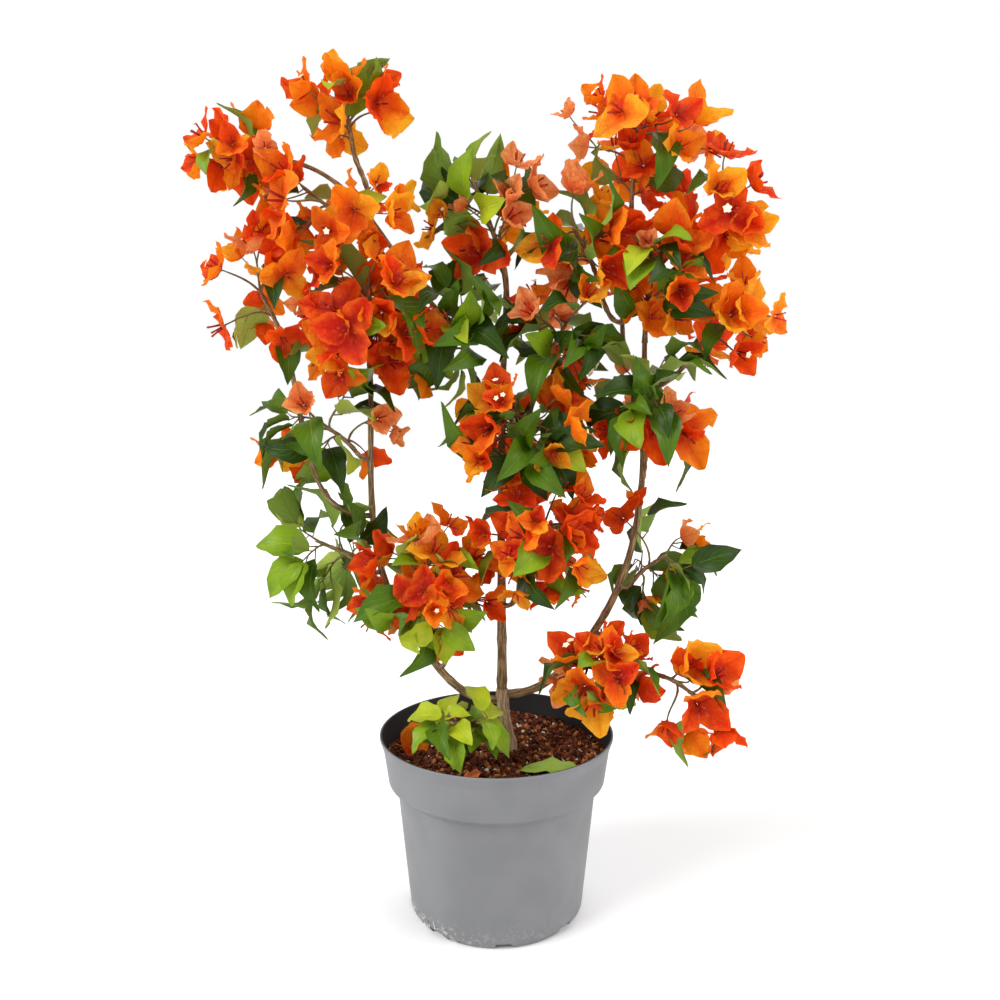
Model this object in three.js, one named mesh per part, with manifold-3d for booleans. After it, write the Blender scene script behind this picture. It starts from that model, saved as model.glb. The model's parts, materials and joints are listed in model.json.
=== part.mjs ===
// A bougainvillea in flower, trained as a flat fan and growing in a round nursery pot.
// Millimetres, +Z up. The origin is the middle of the pot's flat underside, the fan lies along X,
// and its front faces -Y. The trunk forks just above the soil into three boughs. From them side
// branches run to masses of foliage, each one grown from a single stem by a seeded rule: twigs that
// end in three papery bracts, and leafy shoots.
import * as THREE from "three";
import { mergeVertices } from "three/addons/utils/BufferGeometryUtils.js";
import Module from "manifold-3d";

const wasm = await Module();
wasm.setup();
const { Manifold, Mesh: SolidMesh } = wasm;

// ---------------------------------------------------------------- driving dimensions
const CLEARANCE = 0.3; // between one solid and the next

const POT = {
  height: 130,
  footRadius: 61.5,
  baseRadius: 63.5,
  baseHeight: 2.5, // the lower edge is rounded up to here
  waistRadius: 72.5, // the plain wall ends here, under the collar
  waistHeight: 91.5,
  collarRadius: 79,
  collarHeight: 97,
  beadHeight: 9, // the collar steps out at this height above its foot and below the rim
  lowBead: 1.2, // how far out each step stands from the foot of the collar
  highBead: 3.4,
  rimRadius: 85,
  wall: 1.6,
  floor: 2.4,
  sides: 48,
  drainCount: 8,
  drainWidth: 12,
  drainHeight: 4,
  drainDepth: 4, // inwards from the rounded lower edge
  drainTurn: THREE.MathUtils.degToRad(-85.5),
};

const SOIL = { top: 117, edgeTop: 114.5, crownRadius: 26, bendRise: 1 };

const TRUNK = {
  foot: [8, -5, SOIL.top + CLEARANCE],
  tip: [4, 2, 160],
  flareRadius: 9.5, // at the soil
  radius: 5.6,
  tipRadius: 4.9,
  flareShare: 0.35, // of the trunk's length
  sides: 12,
  steps: 8,
};

// A bough leaves its parent at a share of the parent's length, sideways as "leave" points, or goes
// straight on from its tip at share 1. It ends at "to", heading as "arrive" points.
const bough = (parent, share, leave, to, arrive, radii) => ({ parent, share, leave, to, arrive, radii });
const BOUGHS = {
  middle_bough: bough("trunk", 1, null, [7, 12, 440], [0.05, -0.05, 1], [4.2, 2.3]),
  left_arm: bough("trunk", 0.82, [-1, 0, 0], [-60, 2, 200], [-0.6, 0, 0.8], [3.5, 3.1]),
  left_bough: bough("left_arm", 1, null, [-90, 8, 380], [0, -0.12, 1], [3.1, 2.2]),
  right_arm: bough("trunk", 0.9, [1, 0, 0], [76, 4, 210], [0.5, 0, 0.85], [3.5, 3.1]),
  right_bough: bough("right_arm", 1, null, [106, 12, 412], [0, -0.1, 1], [3.1, 2.1]),
  plume_bough: bough("middle_bough", 0.9, [-1, -0.2, 0.4], [-138, 6, 533], [-1, -0.1, 0.25], [2, 1.7]),
  dome_bough: bough("right_bough", 0.92, [-0.6, 1, 0.2], [95, 12, 505], [0, -0.2, 1], [1.9, 1.7]),
};

// "step" is one straight stretch of a limb, and "sample" the spacing at which foliage looks for it.
const LIMB = { sides: 6, step: 16, sample: 4 };

// A side branch runs from its bough towards the middle of its mass and stops inside it.
const BRANCH = { radius: 1.9, tipRadius: 1.7, stopShort: 26, shortest: 12, rise: 0.3 };

// A mass of foliage fills an ellipsoid. Its branch leaves a bough at a share of the bough's length,
// and at share 1 its stem goes straight on from the bough's tip. "blossoms" counts its flowering
// twigs and "shoots" its leafy ones.
const mass = (from, share, centre, reach, blossoms, shoots) => ({
  from,
  share,
  centre: new THREE.Vector3(...centre),
  reach: new THREE.Vector3(...reach),
  blossoms,
  shoots,
});
const MASSES = {
  plume_tip: mass("plume_bough", 0.72, [-102, -5, 566], [41, 38, 38], 6, 0),
  plume_left: mass("plume_bough", 1, [-176, -8, 538], [38, 38, 36], 5, 0),
  plume_heart: mass("plume_bough", 0.5, [-112, -14, 498], [60, 48, 38], 7, 0),
  left_cascade: mass("left_bough", 1, [-88, -14, 430], [52, 56, 58], 9, 0),
  left_flank: mass("left_bough", 0.5, [-160, -6, 438], [44, 50, 58], 7, 1),
  top_centre: mass("middle_bough", 1, [-12, 0, 506], [52, 50, 48], 6, 1),
  dome_crest: mass("dome_bough", 1, [95, 0, 543], [60, 54, 44], 11, 0),
  dome_right: mass("dome_bough", 0.6, [152, 0, 497], [40, 52, 52], 7, 0),
  dome_left: mass("dome_bough", 0.35, [56, -8, 480], [46, 50, 46], 5, 0),
  dome_heart: mass("right_bough", 1, [107, -8, 454], [46, 56, 50], 5, 0),
  right_flank: mass("right_bough", 0.84, [164, -4, 426], [34, 46, 48], 6, 0),
  centre_leaves: mass("middle_bough", 0.72, [-33, 4, 424], [50, 56, 60], 1, 5),
  centre_right_leaves: mass("middle_bough", 0.66, [45, 2, 416], [50, 54, 54], 1, 4),
  middle_blossom: mass("middle_bough", 0.5, [20, -14, 346], [60, 60, 46], 6, 2),
  lower_blossom: mass("middle_bough", 0.22, [30, -20, 277], [50, 54, 58], 8, 1),
  lower_left_blossom: mass("left_arm", 0.62, [-49, -24, 238], [54, 52, 56], 6, 3),
  left_leaves: mass("left_bough", 0.28, [-122, -4, 267], [52, 54, 58], 0, 5),
  left_upper_leaves: mass("left_bough", 0.72, [-122, -2, 352], [60, 52, 52], 1, 5),
  right_leaves_upper: mass("right_bough", 0.52, [108, -6, 366], [50, 54, 60], 2, 4),
  right_leaves_lower: mass("right_bough", 0.14, [118, 2, 256], [50, 50, 64], 1, 5),
  low_spray_near: mass("right_arm", 0.6, [72, -40, 184], [42, 40, 35], 5, 1),
  low_spray_far: mass("right_arm", 0.9, [136, -42, 168], [36, 38, 46], 6, 0),
  pot_shoots: mass("trunk", 0.3, [-26, -46, 151], [48, 38, 34], 0, 4),
};

// "widest" is where along its length a blade is widest, and the other shares are of its length.
const LEAF = { length: 50, width: 28, thickness: 1.3, widest: 0.42, arch: 0.1, fold: 0.05, droop: 0.05 };
const BRACT = { length: 33, width: 31, thickness: 1.3, widest: 0.52, arch: -0.14, fold: 0.1, droop: -0.04 };

// A twig ends in a whorl of three blades and may carry leaves at the shares given along its length.
// "opening" is the angle between blade and twig, and "apex" the height of the whorl's middle.
// "inset" is how far inside the mass's reach the twig ends, as a share of a blade.
const BLOSSOM = {
  blade: BRACT,
  opening: [0.62, 0.92],
  sizes: [0.88, 1.14],
  apex: 2.4,
  inset: 0.7,
  leavesAt: [0.5],
  leafChance: 0.25,
};
const SHOOT = {
  blade: LEAF,
  opening: [0.8, 1.2],
  sizes: [0.8, 1.1],
  apex: 1.6,
  inset: 0.55,
  leavesAt: [0.45, 0.72],
  leafChance: 1,
};

// A side leaf points along a weighted mean of these ways, and its upper side looks along another.
const SIDE_LEAF = {
  sizes: [0.6, 0.95],
  points: { spoke: 0.9, tangent: 0.35, outward: 0.3, down: 0.4 },
  looks: { up: 0.8, outward: 0.7, front: 0.5 },
};

// A twig leaves the stem between two shares of its length, "lead" below the level of its own end.
const TWIG = {
  radius: 1.2,
  tipRadius: 1,
  sides: 3,
  step: 26,
  leaves: [0.12, 0.92],
  lead: 0.25,
  setsOut: { stem: 0.7, direct: 0.7, up: 0.2 },
  arrives: { direct: 0.5, outward: 0.6 },
  sways: { sideways: [-0.36, 0.36], forward: [-0.08, 0.48], up: [-0.16, 0.48] },
  shortest: 0.25, // of the mass's reach
  probes: 10,
};
const STEM = { sides: 5, tipRadius: 1.6, step: 22, beyondCentre: 0.3, probes: 8 };
const SUNK = 0.3; // how far a leaf's root passes the middle of its twig
const CURVE_PULL = 0.36; // how far a limb keeps the way it sets out, as a share of its span

// Foliage keeps this far inside its own space and away from limbs, pot and soil.
const ROOM = { cell: 0.6, twigInCell: 1.8, leafToLimb: 1.4, twigToLimb: 2.6, pot: 2 };
const NEARBY = 1.3; // limbs are looked for this far out from a mass's centre, in its longest reach
const ELLIPSOID_SHARE = 1.08;

// Twigs are tried towards points spread evenly round the mass, the outermost first, and those that
// don't fit are skipped. A blade that doesn't fit is turned and made smaller before it is given up.
const TRIES = { twigs: 220, drawnIn: 0.5, blades: 8, turn: 0.9, shrink: 0.05, reopen: 0.31 };
const EVEN_STEPS = [0.7548776662466927, 0.5698402909980532]; // two shares that never repeat

const SEED = 307;
const SEED_STEP = 7919;

const GOLDEN_ANGLE = Math.PI * (3 - Math.sqrt(5));
const FULL_TURN = 2 * Math.PI;
const UP = new THREE.Vector3(0, 0, 1);
const FRONT = new THREE.Vector3(0, -1, 0);
const RIGHT = new THREE.Vector3(1, 0, 0);

// ---------------------------------------------------------------- finishes
const finish = (color, roughness) => new THREE.MeshStandardMaterial({ color, roughness, metalness: 0 });
const POT_PLASTIC = finish("#8c8f94", 0.5);
const PEAT = finish("#3a1f16", 0.95);
const BARK = finish("#7a6248", 0.85);
const FLOWERING = finish("#f2570e", 0.6);
const LEAFY = finish("#4d7a2c", 0.5);

// ---------------------------------------------------------------- vectors and chance
const sum = (...terms) => {
  const total = new THREE.Vector3();
  for (const [weight, v] of terms) total.addScaledVector(v, weight);
  return total;
};
const unit = (v) => v.clone().normalize();

// v at unit length, with its part along the unit vector axis taken out
const across = (v, axis) => unit(sum([1, v], [-v.dot(axis), axis]));

// the unit vector at an angle from "first" round an axis that is square to it
const spokeAt = (axis, first, angle) =>
  sum([Math.cos(angle), first], [Math.sin(angle), axis.clone().cross(first)]);

const between = ([low, high], share) => low + (high - low) * share;
const taper = (radii) => (share) => between(radii, share);

// the same stream of numbers from 0 to 1 for the same seed
function randomStream(seed) {
  const modulus = 2147483647;
  const factor = 48271;
  let state = seed;
  return () => {
    state = (state * factor) % modulus;
    return state / modulus;
  };
}

// ---------------------------------------------------------------- solids
const meshFrom = (points, faces) =>
  new THREE.BufferGeometry()
    .setAttribute("position", new THREE.Float32BufferAttribute(points.flatMap((p) => p.toArray()), 3))
    .setIndex(faces.flat());

function solidOf(geometry) {
  for (const name of ["normal", "uv"]) geometry.deleteAttribute(name);
  const merged = mergeVertices(geometry, 1e-3);
  return new Manifold(
    new SolidMesh({
      numProp: 3,
      vertProperties: merged.attributes.position.array,
      triVerts: new Uint32Array(merged.index.array),
    }),
  );
}

function geometryOf(solid) {
  const { vertProperties, triVerts } = solid.getMesh();
  return new THREE.BufferGeometry()
    .setAttribute("position", new THREE.BufferAttribute(new Float32Array(vertProperties), 3))
    .setIndex(new THREE.BufferAttribute(new Uint32Array(triVerts), 1));
}

// a cubic curve that leaves a along headA and reaches b along headB
function reachCurve(a, headA, b, headB) {
  const pull = a.distanceTo(b) * CURVE_PULL;
  const afterA = sum([1, a], [pull, unit(headA)]);
  const beforeB = sum([1, b], [-pull, unit(headB)]);
  return new THREE.CubicBezierCurve3(a, afterA, beforeB, b);
}

// The rings of a tube along a curve and the faces of its wall and flat start. The end is left open.
function tubeShell(curve, radiusAt, sides, stepLength) {
  const steps = Math.max(2, Math.round(curve.getLength() / stepLength));
  const frames = curve.computeFrenetFrames(steps, false);
  const points = [];
  const faces = [];
  for (let i = 0; i <= steps; i++) {
    const centre = curve.getPointAt(i / steps);
    const radius = radiusAt(i / steps);
    for (let k = 0; k < sides; k++) {
      const angle = (FULL_TURN * k) / sides;
      points.push(sum([1, centre], [radius, spokeAt(frames.tangents[i], frames.normals[i], angle)]));
      const [here, next] = [i * sides + k, i * sides + ((k + 1) % sides)];
      if (i < steps) faces.push([here, next, next + sides], [here, next + sides, here + sides]);
    }
  }
  for (let k = 1; k < sides - 1; k++) faces.push([0, k + 1, k]);
  return { points, faces, last: steps * sides, endNormal: frames.normals[steps] };
}

function closedTube(curve, radiusAt, sides, stepLength) {
  const { points, faces, last } = tubeShell(curve, radiusAt, sides, stepLength);
  for (let k = 1; k < sides - 1; k++) faces.push([last, last + k, last + k + 1]);
  return meshFrom(points, faces);
}

// ---------------------------------------------------------------- pot and soil
const turned = (profile, sides) =>
  new THREE.LatheGeometry(profile.map(([r, z]) => new THREE.Vector2(r, z)), sides).rotateX(Math.PI / 2);

function makePot() {
  const { height: top, wall, beadHeight: bead } = POT;
  const outside = [
    [POT.footRadius, 0],
    [POT.baseRadius, POT.baseHeight],
    [POT.waistRadius, POT.waistHeight],
    [POT.collarRadius, POT.collarHeight],
    [POT.collarRadius + POT.lowBead, POT.collarHeight + bead],
    [POT.collarRadius + POT.highBead, top - bead],
    [POT.rimRadius, top - wall],
    [POT.rimRadius, top],
  ];
  const inside = [
    [POT.rimRadius - wall, top],
    [POT.collarRadius - wall, POT.collarHeight + wall / 2],
    [POT.waistRadius - wall, POT.waistHeight + wall / 2],
    [POT.baseRadius - wall, POT.floor],
  ];
  const shell = solidOf(turned([[0, 0], ...outside, ...inside, [0, POT.floor]], POT.sides));
  const drains = Array.from({ length: POT.drainCount }, (_, i) =>
    solidOf(
      new THREE.BoxGeometry(2 * POT.drainDepth, POT.drainWidth, 2 * POT.drainHeight)
        .translate(POT.baseRadius, 0, 0)
        .rotateZ(POT.drainTurn + (FULL_TURN * i) / POT.drainCount),
    ),
  );
  return geometryOf(shell.subtract(Manifold.union(drains)));
}

// The plug of soil follows the pot's inner wall. Measured across the sloping wall the gap is a
// little less than along the radius, so it gets half as much again.
function makeSoil() {
  const gap = POT.wall + 1.5 * CLEARANCE;
  const floor = POT.floor + CLEARANCE;
  const collarTaper = (POT.rimRadius - POT.collarRadius) / (POT.height - POT.collarHeight);
  const edgeRadius = POT.collarRadius + collarTaper * (SOIL.edgeTop - POT.collarHeight) - gap;
  const profile = [
    [0, floor],
    [POT.baseRadius - gap, floor],
    [POT.waistRadius - gap, POT.waistHeight + SOIL.bendRise],
    [POT.collarRadius - gap, POT.collarHeight + SOIL.bendRise],
    [edgeRadius, SOIL.edgeTop],
    [SOIL.crownRadius, SOIL.top],
    [0, SOIL.top],
  ];
  return turned(profile, POT.sides);
}

// ---------------------------------------------------------------- trunk, boughs and branches
const limbs = new Map(); // name: { curve, radii }

function makeTrunk() {
  const curve = reachCurve(new THREE.Vector3(...TRUNK.foot), UP, new THREE.Vector3(...TRUNK.tip), UP);
  const radii = [TRUNK.radius, TRUNK.tipRadius];
  limbs.set("trunk", { curve, radii });
  const flared = (share) => {
    const flare = Math.max(0, 1 - share / TRUNK.flareShare);
    return between(radii, share) + (TRUNK.flareRadius - TRUNK.radius) * flare ** 2;
  };
  return closedTube(curve, flared, TRUNK.sides, curve.getLength() / TRUNK.steps);
}

// where a limb starts on its parent, a clearance off its bark or its tip, and which way it sets out
function limbStart(parent, share, towards) {
  const { curve, radii } = limbs.get(parent);
  const tangent = curve.getTangentAt(share);
  const side = share < 1 ? across(towards, tangent) : tangent;
  const offset = (share < 1 ? between(radii, share) : 0) + CLEARANCE;
  return { start: sum([1, curve.getPointAt(share)], [offset, side]), side };
}

function makeBough(name, { parent, share, leave, to, arrive, radii }) {
  const { start, side } = limbStart(parent, share, leave && new THREE.Vector3(...leave));
  const curve = reachCurve(start, side, new THREE.Vector3(...to), new THREE.Vector3(...arrive));
  limbs.set(name, { curve, radii });
}

function makeBranch(name, { from, share, centre }) {
  const towards = centre.clone().sub(limbs.get(from).curve.getPointAt(share));
  const { start, side } = limbStart(from, share, towards);
  const way = centre.clone().sub(start);
  const length = Math.max(BRANCH.shortest, way.length() - BRANCH.stopShort);
  const end = sum([1, start], [length, unit(way)]);
  const curve = reachCurve(start, side, end, sum([1, unit(way)], [BRANCH.rise, UP]));
  limbs.set(name, { curve, radii: [BRANCH.radius, BRANCH.tipRadius] });
}

// the stem of a mass, which goes on from the tip of its limb through the middle of its space
function makeStem(name, { from, share, centre }) {
  const limb = limbs.get(share < 1 ? branchName(name) : from);
  const heading = limb.curve.getTangentAt(1);
  const foot = sum([1, limb.curve.getPointAt(1)], [CLEARANCE, heading]);
  const way = centre.clone().sub(foot);
  const end = sum([1, centre], [STEM.beyondCentre, way]);
  return { curve: reachCurve(foot, heading, end, way), radii: [limb.radii[1], STEM.tipRadius] };
}

const branchName = (massName) => `${massName}_branch`;

const alongLimb = ({ curve, radii }) =>
  curve.getSpacedPoints(Math.ceil(curve.getLength() / LIMB.sample)).map((point, i, { length }) => ({
    point,
    radius: between(radii, i / (length - 1)),
  }));

// ---------------------------------------------------------------- the space of each mass
// Masses share the air by flat faces. A point belongs to the mass whose centre is nearest once the
// square of its size is taken off, and a mass stays inside its own ellipsoid as well.
const power = ({ centre, reach }, p) => p.distanceToSquared(centre) - ((reach.x + reach.z) / 2) ** 2;

function insideSpace(own, p, room) {
  if (p.clone().sub(own.centre).divide(own.reach).length() > ELLIPSOID_SHARE) return false;
  return Object.values(MASSES).every((other) => {
    if (other === own) return true;
    const toFace = (power(other, p) - power(own, p)) / (2 * own.centre.distanceTo(other.centre));
    return toFace > room;
  });
}

function clearOfPot(p) {
  const radius = Math.hypot(p.x, p.y);
  if (radius > POT.rimRadius + ROOM.pot || p.z > POT.height + ROOM.pot) return true;
  return radius < POT.collarRadius - ROOM.pot && p.z > SOIL.top + ROOM.pot;
}

const clearOfLimbs = (points, barriers, room) =>
  points.every((p) => barriers.every(({ point, radius }) => p.distanceTo(point) > radius + room));

// ---------------------------------------------------------------- blades: leaves and bracts
// A blade is a lozenge that arches along its length and folds along its midrib. "normal" is the
// side that its upper face looks to.
function makeBlade(root, along, normal, shape, scale) {
  const length = shape.length * scale;
  const half = (shape.width * scale) / 2;
  const side = along.clone().cross(normal);
  const middle = sum([1, root], [shape.widest * length, along], [shape.arch * length, normal]);
  const edge = sum([1, middle], [shape.fold * length, normal]);
  return {
    root: sum([1, root], [-SUNK, along]),
    tip: sum([1, root], [length, along], [-shape.droop * length, normal]),
    left: sum([1, edge], [-half, side]),
    right: sum([1, edge], [half, side]),
    upper: sum([1, middle], [shape.thickness / 2, normal]),
    lower: sum([1, middle], [-shape.thickness / 2, normal]),
  };
}

function bladeSolid({ root, tip, left, right, upper, lower }) {
  const rim = [root, left, tip, right];
  const faces = rim.flatMap((_, i) => {
    const next = (i + 1) % 4;
    return [[i, 4, next], [i, next, 5]];
  });
  return solidOf(meshFrom([...rim, upper, lower], faces));
}

// the rim, the midrib and the widest line, and the four upper faces, to test whether blades cross
function bladeOutline({ root, tip, left, right, upper }) {
  const rim = [[root, left], [left, tip], [tip, right], [right, root]];
  return {
    segments: [...rim, [root, upper], [upper, tip], [left, right]],
    faces: rim.map(([a, b]) => [a, b, upper]),
  };
}

const ray = new THREE.Ray();
const hit = new THREE.Vector3();
function pierces([from, to], [a, b, c]) {
  ray.set(from, unit(sum([1, to], [-1, from])));
  if (ray.intersectTriangle(a, b, c, false, hit) === null) return false;
  return hit.distanceTo(from) < from.distanceTo(to);
}

const anyPierces = (one, other) => one.segments.some((s) => other.faces.some((face) => pierces(s, face)));
const crosses = (one, other) => anyPierces(one, other) || anyPierces(other, one);

const lineThrough = (points) => ({ segments: points.slice(1).map((p, i) => [points[i], p]), faces: [] });

const triangle = new THREE.Triangle();
const nearest = new THREE.Vector3();
const faceClears = (face, { point, radius }) =>
  triangle.set(...face).closestPointToPoint(point, nearest).distanceTo(point) > radius + ROOM.leafToLimb;

function bladeFits(grove, blade, ownTwig) {
  const corners = Object.values(blade);
  if (!corners.every((p) => insideSpace(grove.own, p, ROOM.cell) && clearOfPot(p))) return false;
  const outline = bladeOutline(blade);
  if (!grove.barriers.every((limb) => outline.faces.every((face) => faceClears(face, limb)))) return false;
  return grove.kept.every((other) => other === ownTwig || !crosses(outline, other));
}

// ---------------------------------------------------------------- twigs
// A twig runs from the stem towards try number k of the points spread round the mass.
function placeTwig(grove, k, kind, [sideways, forward, lift]) {
  const { own, stem } = grove;
  const [pole, turn] = EVEN_STEPS.map((step) => (k * step + grove.spin) % 1);
  const ring = Math.sqrt(1 - (2 * pole - 1) ** 2);
  const [x, z] = [ring * Math.cos(turn * FULL_TURN), ring * Math.sin(turn * FULL_TURN)];
  const full = new THREE.Vector3(x, 2 * pole - 1, z).multiply(own.reach);
  const edge = Math.max(TWIG.shortest, 1 - (kind.inset * kind.blade.length) / full.length());
  const drawnIn = 1 - (TRIES.drawnIn * k) / TRIES.twigs;
  const end = sum([1, own.centre], [edge * drawnIn, full]);

  const stemFoot = stem.getPointAt(0);
  const stemWay = stem.getPointAt(1).sub(stemFoot);
  const level = end.clone().sub(stemFoot).dot(stemWay) / stemWay.lengthSq();
  const share = THREE.MathUtils.clamp(level - TWIG.lead, ...TWIG.leaves);
  const start = stem.getPointAt(share);

  const { setsOut, arrives, sways } = TWIG;
  const direct = unit(end.clone().sub(start));
  const leave = sum([setsOut.stem, stem.getTangentAt(share)], [setsOut.direct, direct], [setsOut.up, UP]);
  const arrive = sum(
    [arrives.direct, direct],
    [arrives.outward, unit(full)],
    [between(sways.sideways, sideways), RIGHT],
    [between(sways.forward, forward), FRONT],
    [between(sways.up, lift), UP],
  );
  const twig = reachCurve(start, leave, end, arrive);
  const probes = twig.getSpacedPoints(TWIG.probes).slice(1);
  if (!probes.every((p) => insideSpace(own, p, ROOM.twigInCell) && clearOfPot(p))) return null;
  if (!clearOfLimbs(probes, grove.barriers, ROOM.twigToLimb)) return null;
  const line = lineThrough(probes);
  return grove.kept.some((other) => crosses(line, other)) ? null : { twig, line };
}

// Three blades round the tip of a twig. Each one stands on a side of the three-sided twig, so twig
// and blades are one closed mesh.
function growWhorl(grove, { twig, line }, kind, [size, spread]) {
  const shell = tubeShell(twig, taper([TWIG.radius, TWIG.tipRadius]), TWIG.sides, TWIG.step);
  const axis = twig.getTangentAt(1);
  const tip = twig.getPointAt(1);
  for (let attempt = 0; attempt < TRIES.blades; attempt++) {
    const scale = between(kind.sizes, size) * (1 - TRIES.shrink * attempt);
    const opening = between(kind.opening, (spread + attempt * TRIES.reopen) % 1);
    const blades = [0.5, 1.5, 2.5].map((third) => {
      const spoke = spokeAt(axis, shell.endNormal, (FULL_TURN * third) / 3);
      const along = sum([Math.cos(opening), axis], [Math.sin(opening), spoke]);
      return makeBlade(tip, along, across(axis, along), kind.blade, scale);
    });
    if (!blades.every((blade) => bladeFits(grove, blade, line))) continue;
    grove.kept.push(line, ...blades.map(bladeOutline));
    return solidOf(whorlMesh(shell, blades, sum([1, tip], [kind.apex, axis])));
  }
  return null;
}

// The twig's open end has the ring corners a and b under each blade, and all blades share the apex.
function whorlMesh(shell, blades, apexPoint) {
  const points = [...shell.points, apexPoint];
  const faces = [...shell.faces];
  const apex = shell.points.length;
  blades.forEach((blade, i) => {
    const [a, b] = [shell.last + i, shell.last + ((i + 1) % 3)];
    const [sideA, sideB, tip, upper, lower] = [0, 1, 2, 3, 4].map((n) => points.length + n);
    points.push(blade.right, blade.left, blade.tip, blade.upper, blade.lower);
    faces.push([a, b, lower], [a, lower, sideA], [b, sideB, lower]);
    faces.push([sideA, lower, tip], [lower, sideB, tip], [sideA, tip, upper], [tip, sideB, upper]);
    faces.push([apex, sideA, upper], [sideB, apex, upper], [a, sideA, apex], [sideB, b, apex]);
  });
  return meshFrom(points, faces);
}

// A leaf stands out from the side of its twig, leans outwards and hangs a little.
function growSideLeaf(grove, { twig, line }, share, turn, scale) {
  const { points, looks } = SIDE_LEAF;
  const root = twig.getPointAt(share);
  const tangent = twig.getTangentAt(share);
  const outward = unit(root.clone().sub(grove.own.centre));
  const upperSide = sum([looks.up, UP], [looks.outward, outward], [looks.front, FRONT]);
  for (let attempt = 0; attempt < TRIES.blades; attempt++) {
    const size = scale * (1 - TRIES.shrink * attempt);
    const spoke = spokeAt(tangent, across(upperSide, tangent), turn + attempt * TRIES.turn);
    const pointed = sum([points.spoke, spoke], [points.tangent, tangent], [points.outward, outward]);
    const along = unit(sum([1, pointed], [-points.down, UP]));
    const blade = makeBlade(root, along, across(upperSide, along), LEAF, size);
    if (!bladeFits(grove, blade, line)) continue;
    grove.kept.push(bladeOutline(blade));
    return bladeSolid(blade);
  }
  return null;
}

// ---------------------------------------------------------------- growing one mass
function growTwig(grove, k, kind, random) {
  const draws = Array.from({ length: 9 }, random);
  const placed = placeTwig(grove, k, kind, draws.slice(0, 3));
  const whorl = placed && growWhorl(grove, placed, kind, draws.slice(3, 5));
  if (!whorl) return [];
  const [chance, firstTurn, ...sizes] = draws.slice(5);
  if (chance > kind.leafChance) return [whorl];
  const leaves = kind.leavesAt.map((share, i) => {
    const turn = firstTurn * FULL_TURN + i * GOLDEN_ANGLE;
    return growSideLeaf(grove, placed, share, turn, between(SIDE_LEAF.sizes, sizes[i]));
  });
  return [whorl, ...leaves.filter(Boolean)];
}

function growMass(index, own, stem, barriers) {
  const random = randomStream(SEED + SEED_STEP * index);
  const nearby = Math.max(...own.reach.toArray()) * NEARBY;
  const grove = {
    own,
    stem: stem.curve,
    barriers: barriers.filter(({ point }) => point.distanceTo(own.centre) < nearby),
    spin: random(),
    kept: [lineThrough(stem.curve.getSpacedPoints(STEM.probes))],
  };
  const solids = [solidOf(closedTube(stem.curve, taper(stem.radii), STEM.sides, STEM.step))];
  const wanted = new Map([[SHOOT, own.shoots], [BLOSSOM, own.blossoms]]);
  const leafShare = own.shoots / (own.shoots + own.blossoms);
  for (let k = 0; k < TRIES.twigs; k++) {
    const kind = Math.floor((k + 1) * leafShare) > Math.floor(k * leafShare) ? SHOOT : BLOSSOM;
    const grown = wanted.get(kind) > 0 ? growTwig(grove, k, kind, random) : [];
    if (grown.length > 0) wanted.set(kind, wanted.get(kind) - 1);
    solids.push(...grown);
  }
  const pieces = Manifold.union(solids).decompose();
  return pieces.reduce((largest, piece) => (piece.volume() > largest.volume() ? piece : largest));
}

// ---------------------------------------------------------------- the plant
const plant = new THREE.Group();
const add = (name, geometry, material) => {
  const mesh = new THREE.Mesh(geometry, material);
  mesh.name = name;
  plant.add(mesh);
};

add("pot", makePot(), POT_PLASTIC);
add("soil", makeSoil(), PEAT);
add("trunk", makeTrunk(), BARK);
for (const [name, sizes] of Object.entries(BOUGHS)) makeBough(name, sizes);
for (const [name, own] of Object.entries(MASSES)) {
  if (own.share < 1) makeBranch(branchName(name), own);
}
for (const [name, { curve, radii }] of limbs) {
  if (name !== "trunk") add(name, closedTube(curve, taper(radii), LIMB.sides, LIMB.step), BARK);
}

const stems = Object.entries(MASSES).map(([name, own]) => makeStem(name, own));
const limbBarriers = [...limbs.values()].flatMap(alongLimb);
Object.entries(MASSES).forEach(([name, own], i) => {
  const otherStems = stems.filter((_, k) => k !== i).flatMap(alongLimb);
  const solid = growMass(i, own, stems[i], [...limbBarriers, ...otherStems]);
  add(name, geometryOf(solid), own.blossoms > own.shoots ? FLOWERING : LEAFY);
});

export default plant;
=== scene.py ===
"""Looks of a bougainvillea in flower, trained as a flat fan and growing in a round nursery pot.

Sizes are millimetres and become metres where a mesh is written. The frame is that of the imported
solids: +Z up, the origin in the middle of the pot's underside, the fan along X, its front facing -Y.
"""

import json
import logging
import math
from collections.abc import Collection, Iterator, Sequence
from dataclasses import dataclass, field
from enum import Enum
from functools import cache
from typing import Protocol

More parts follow.
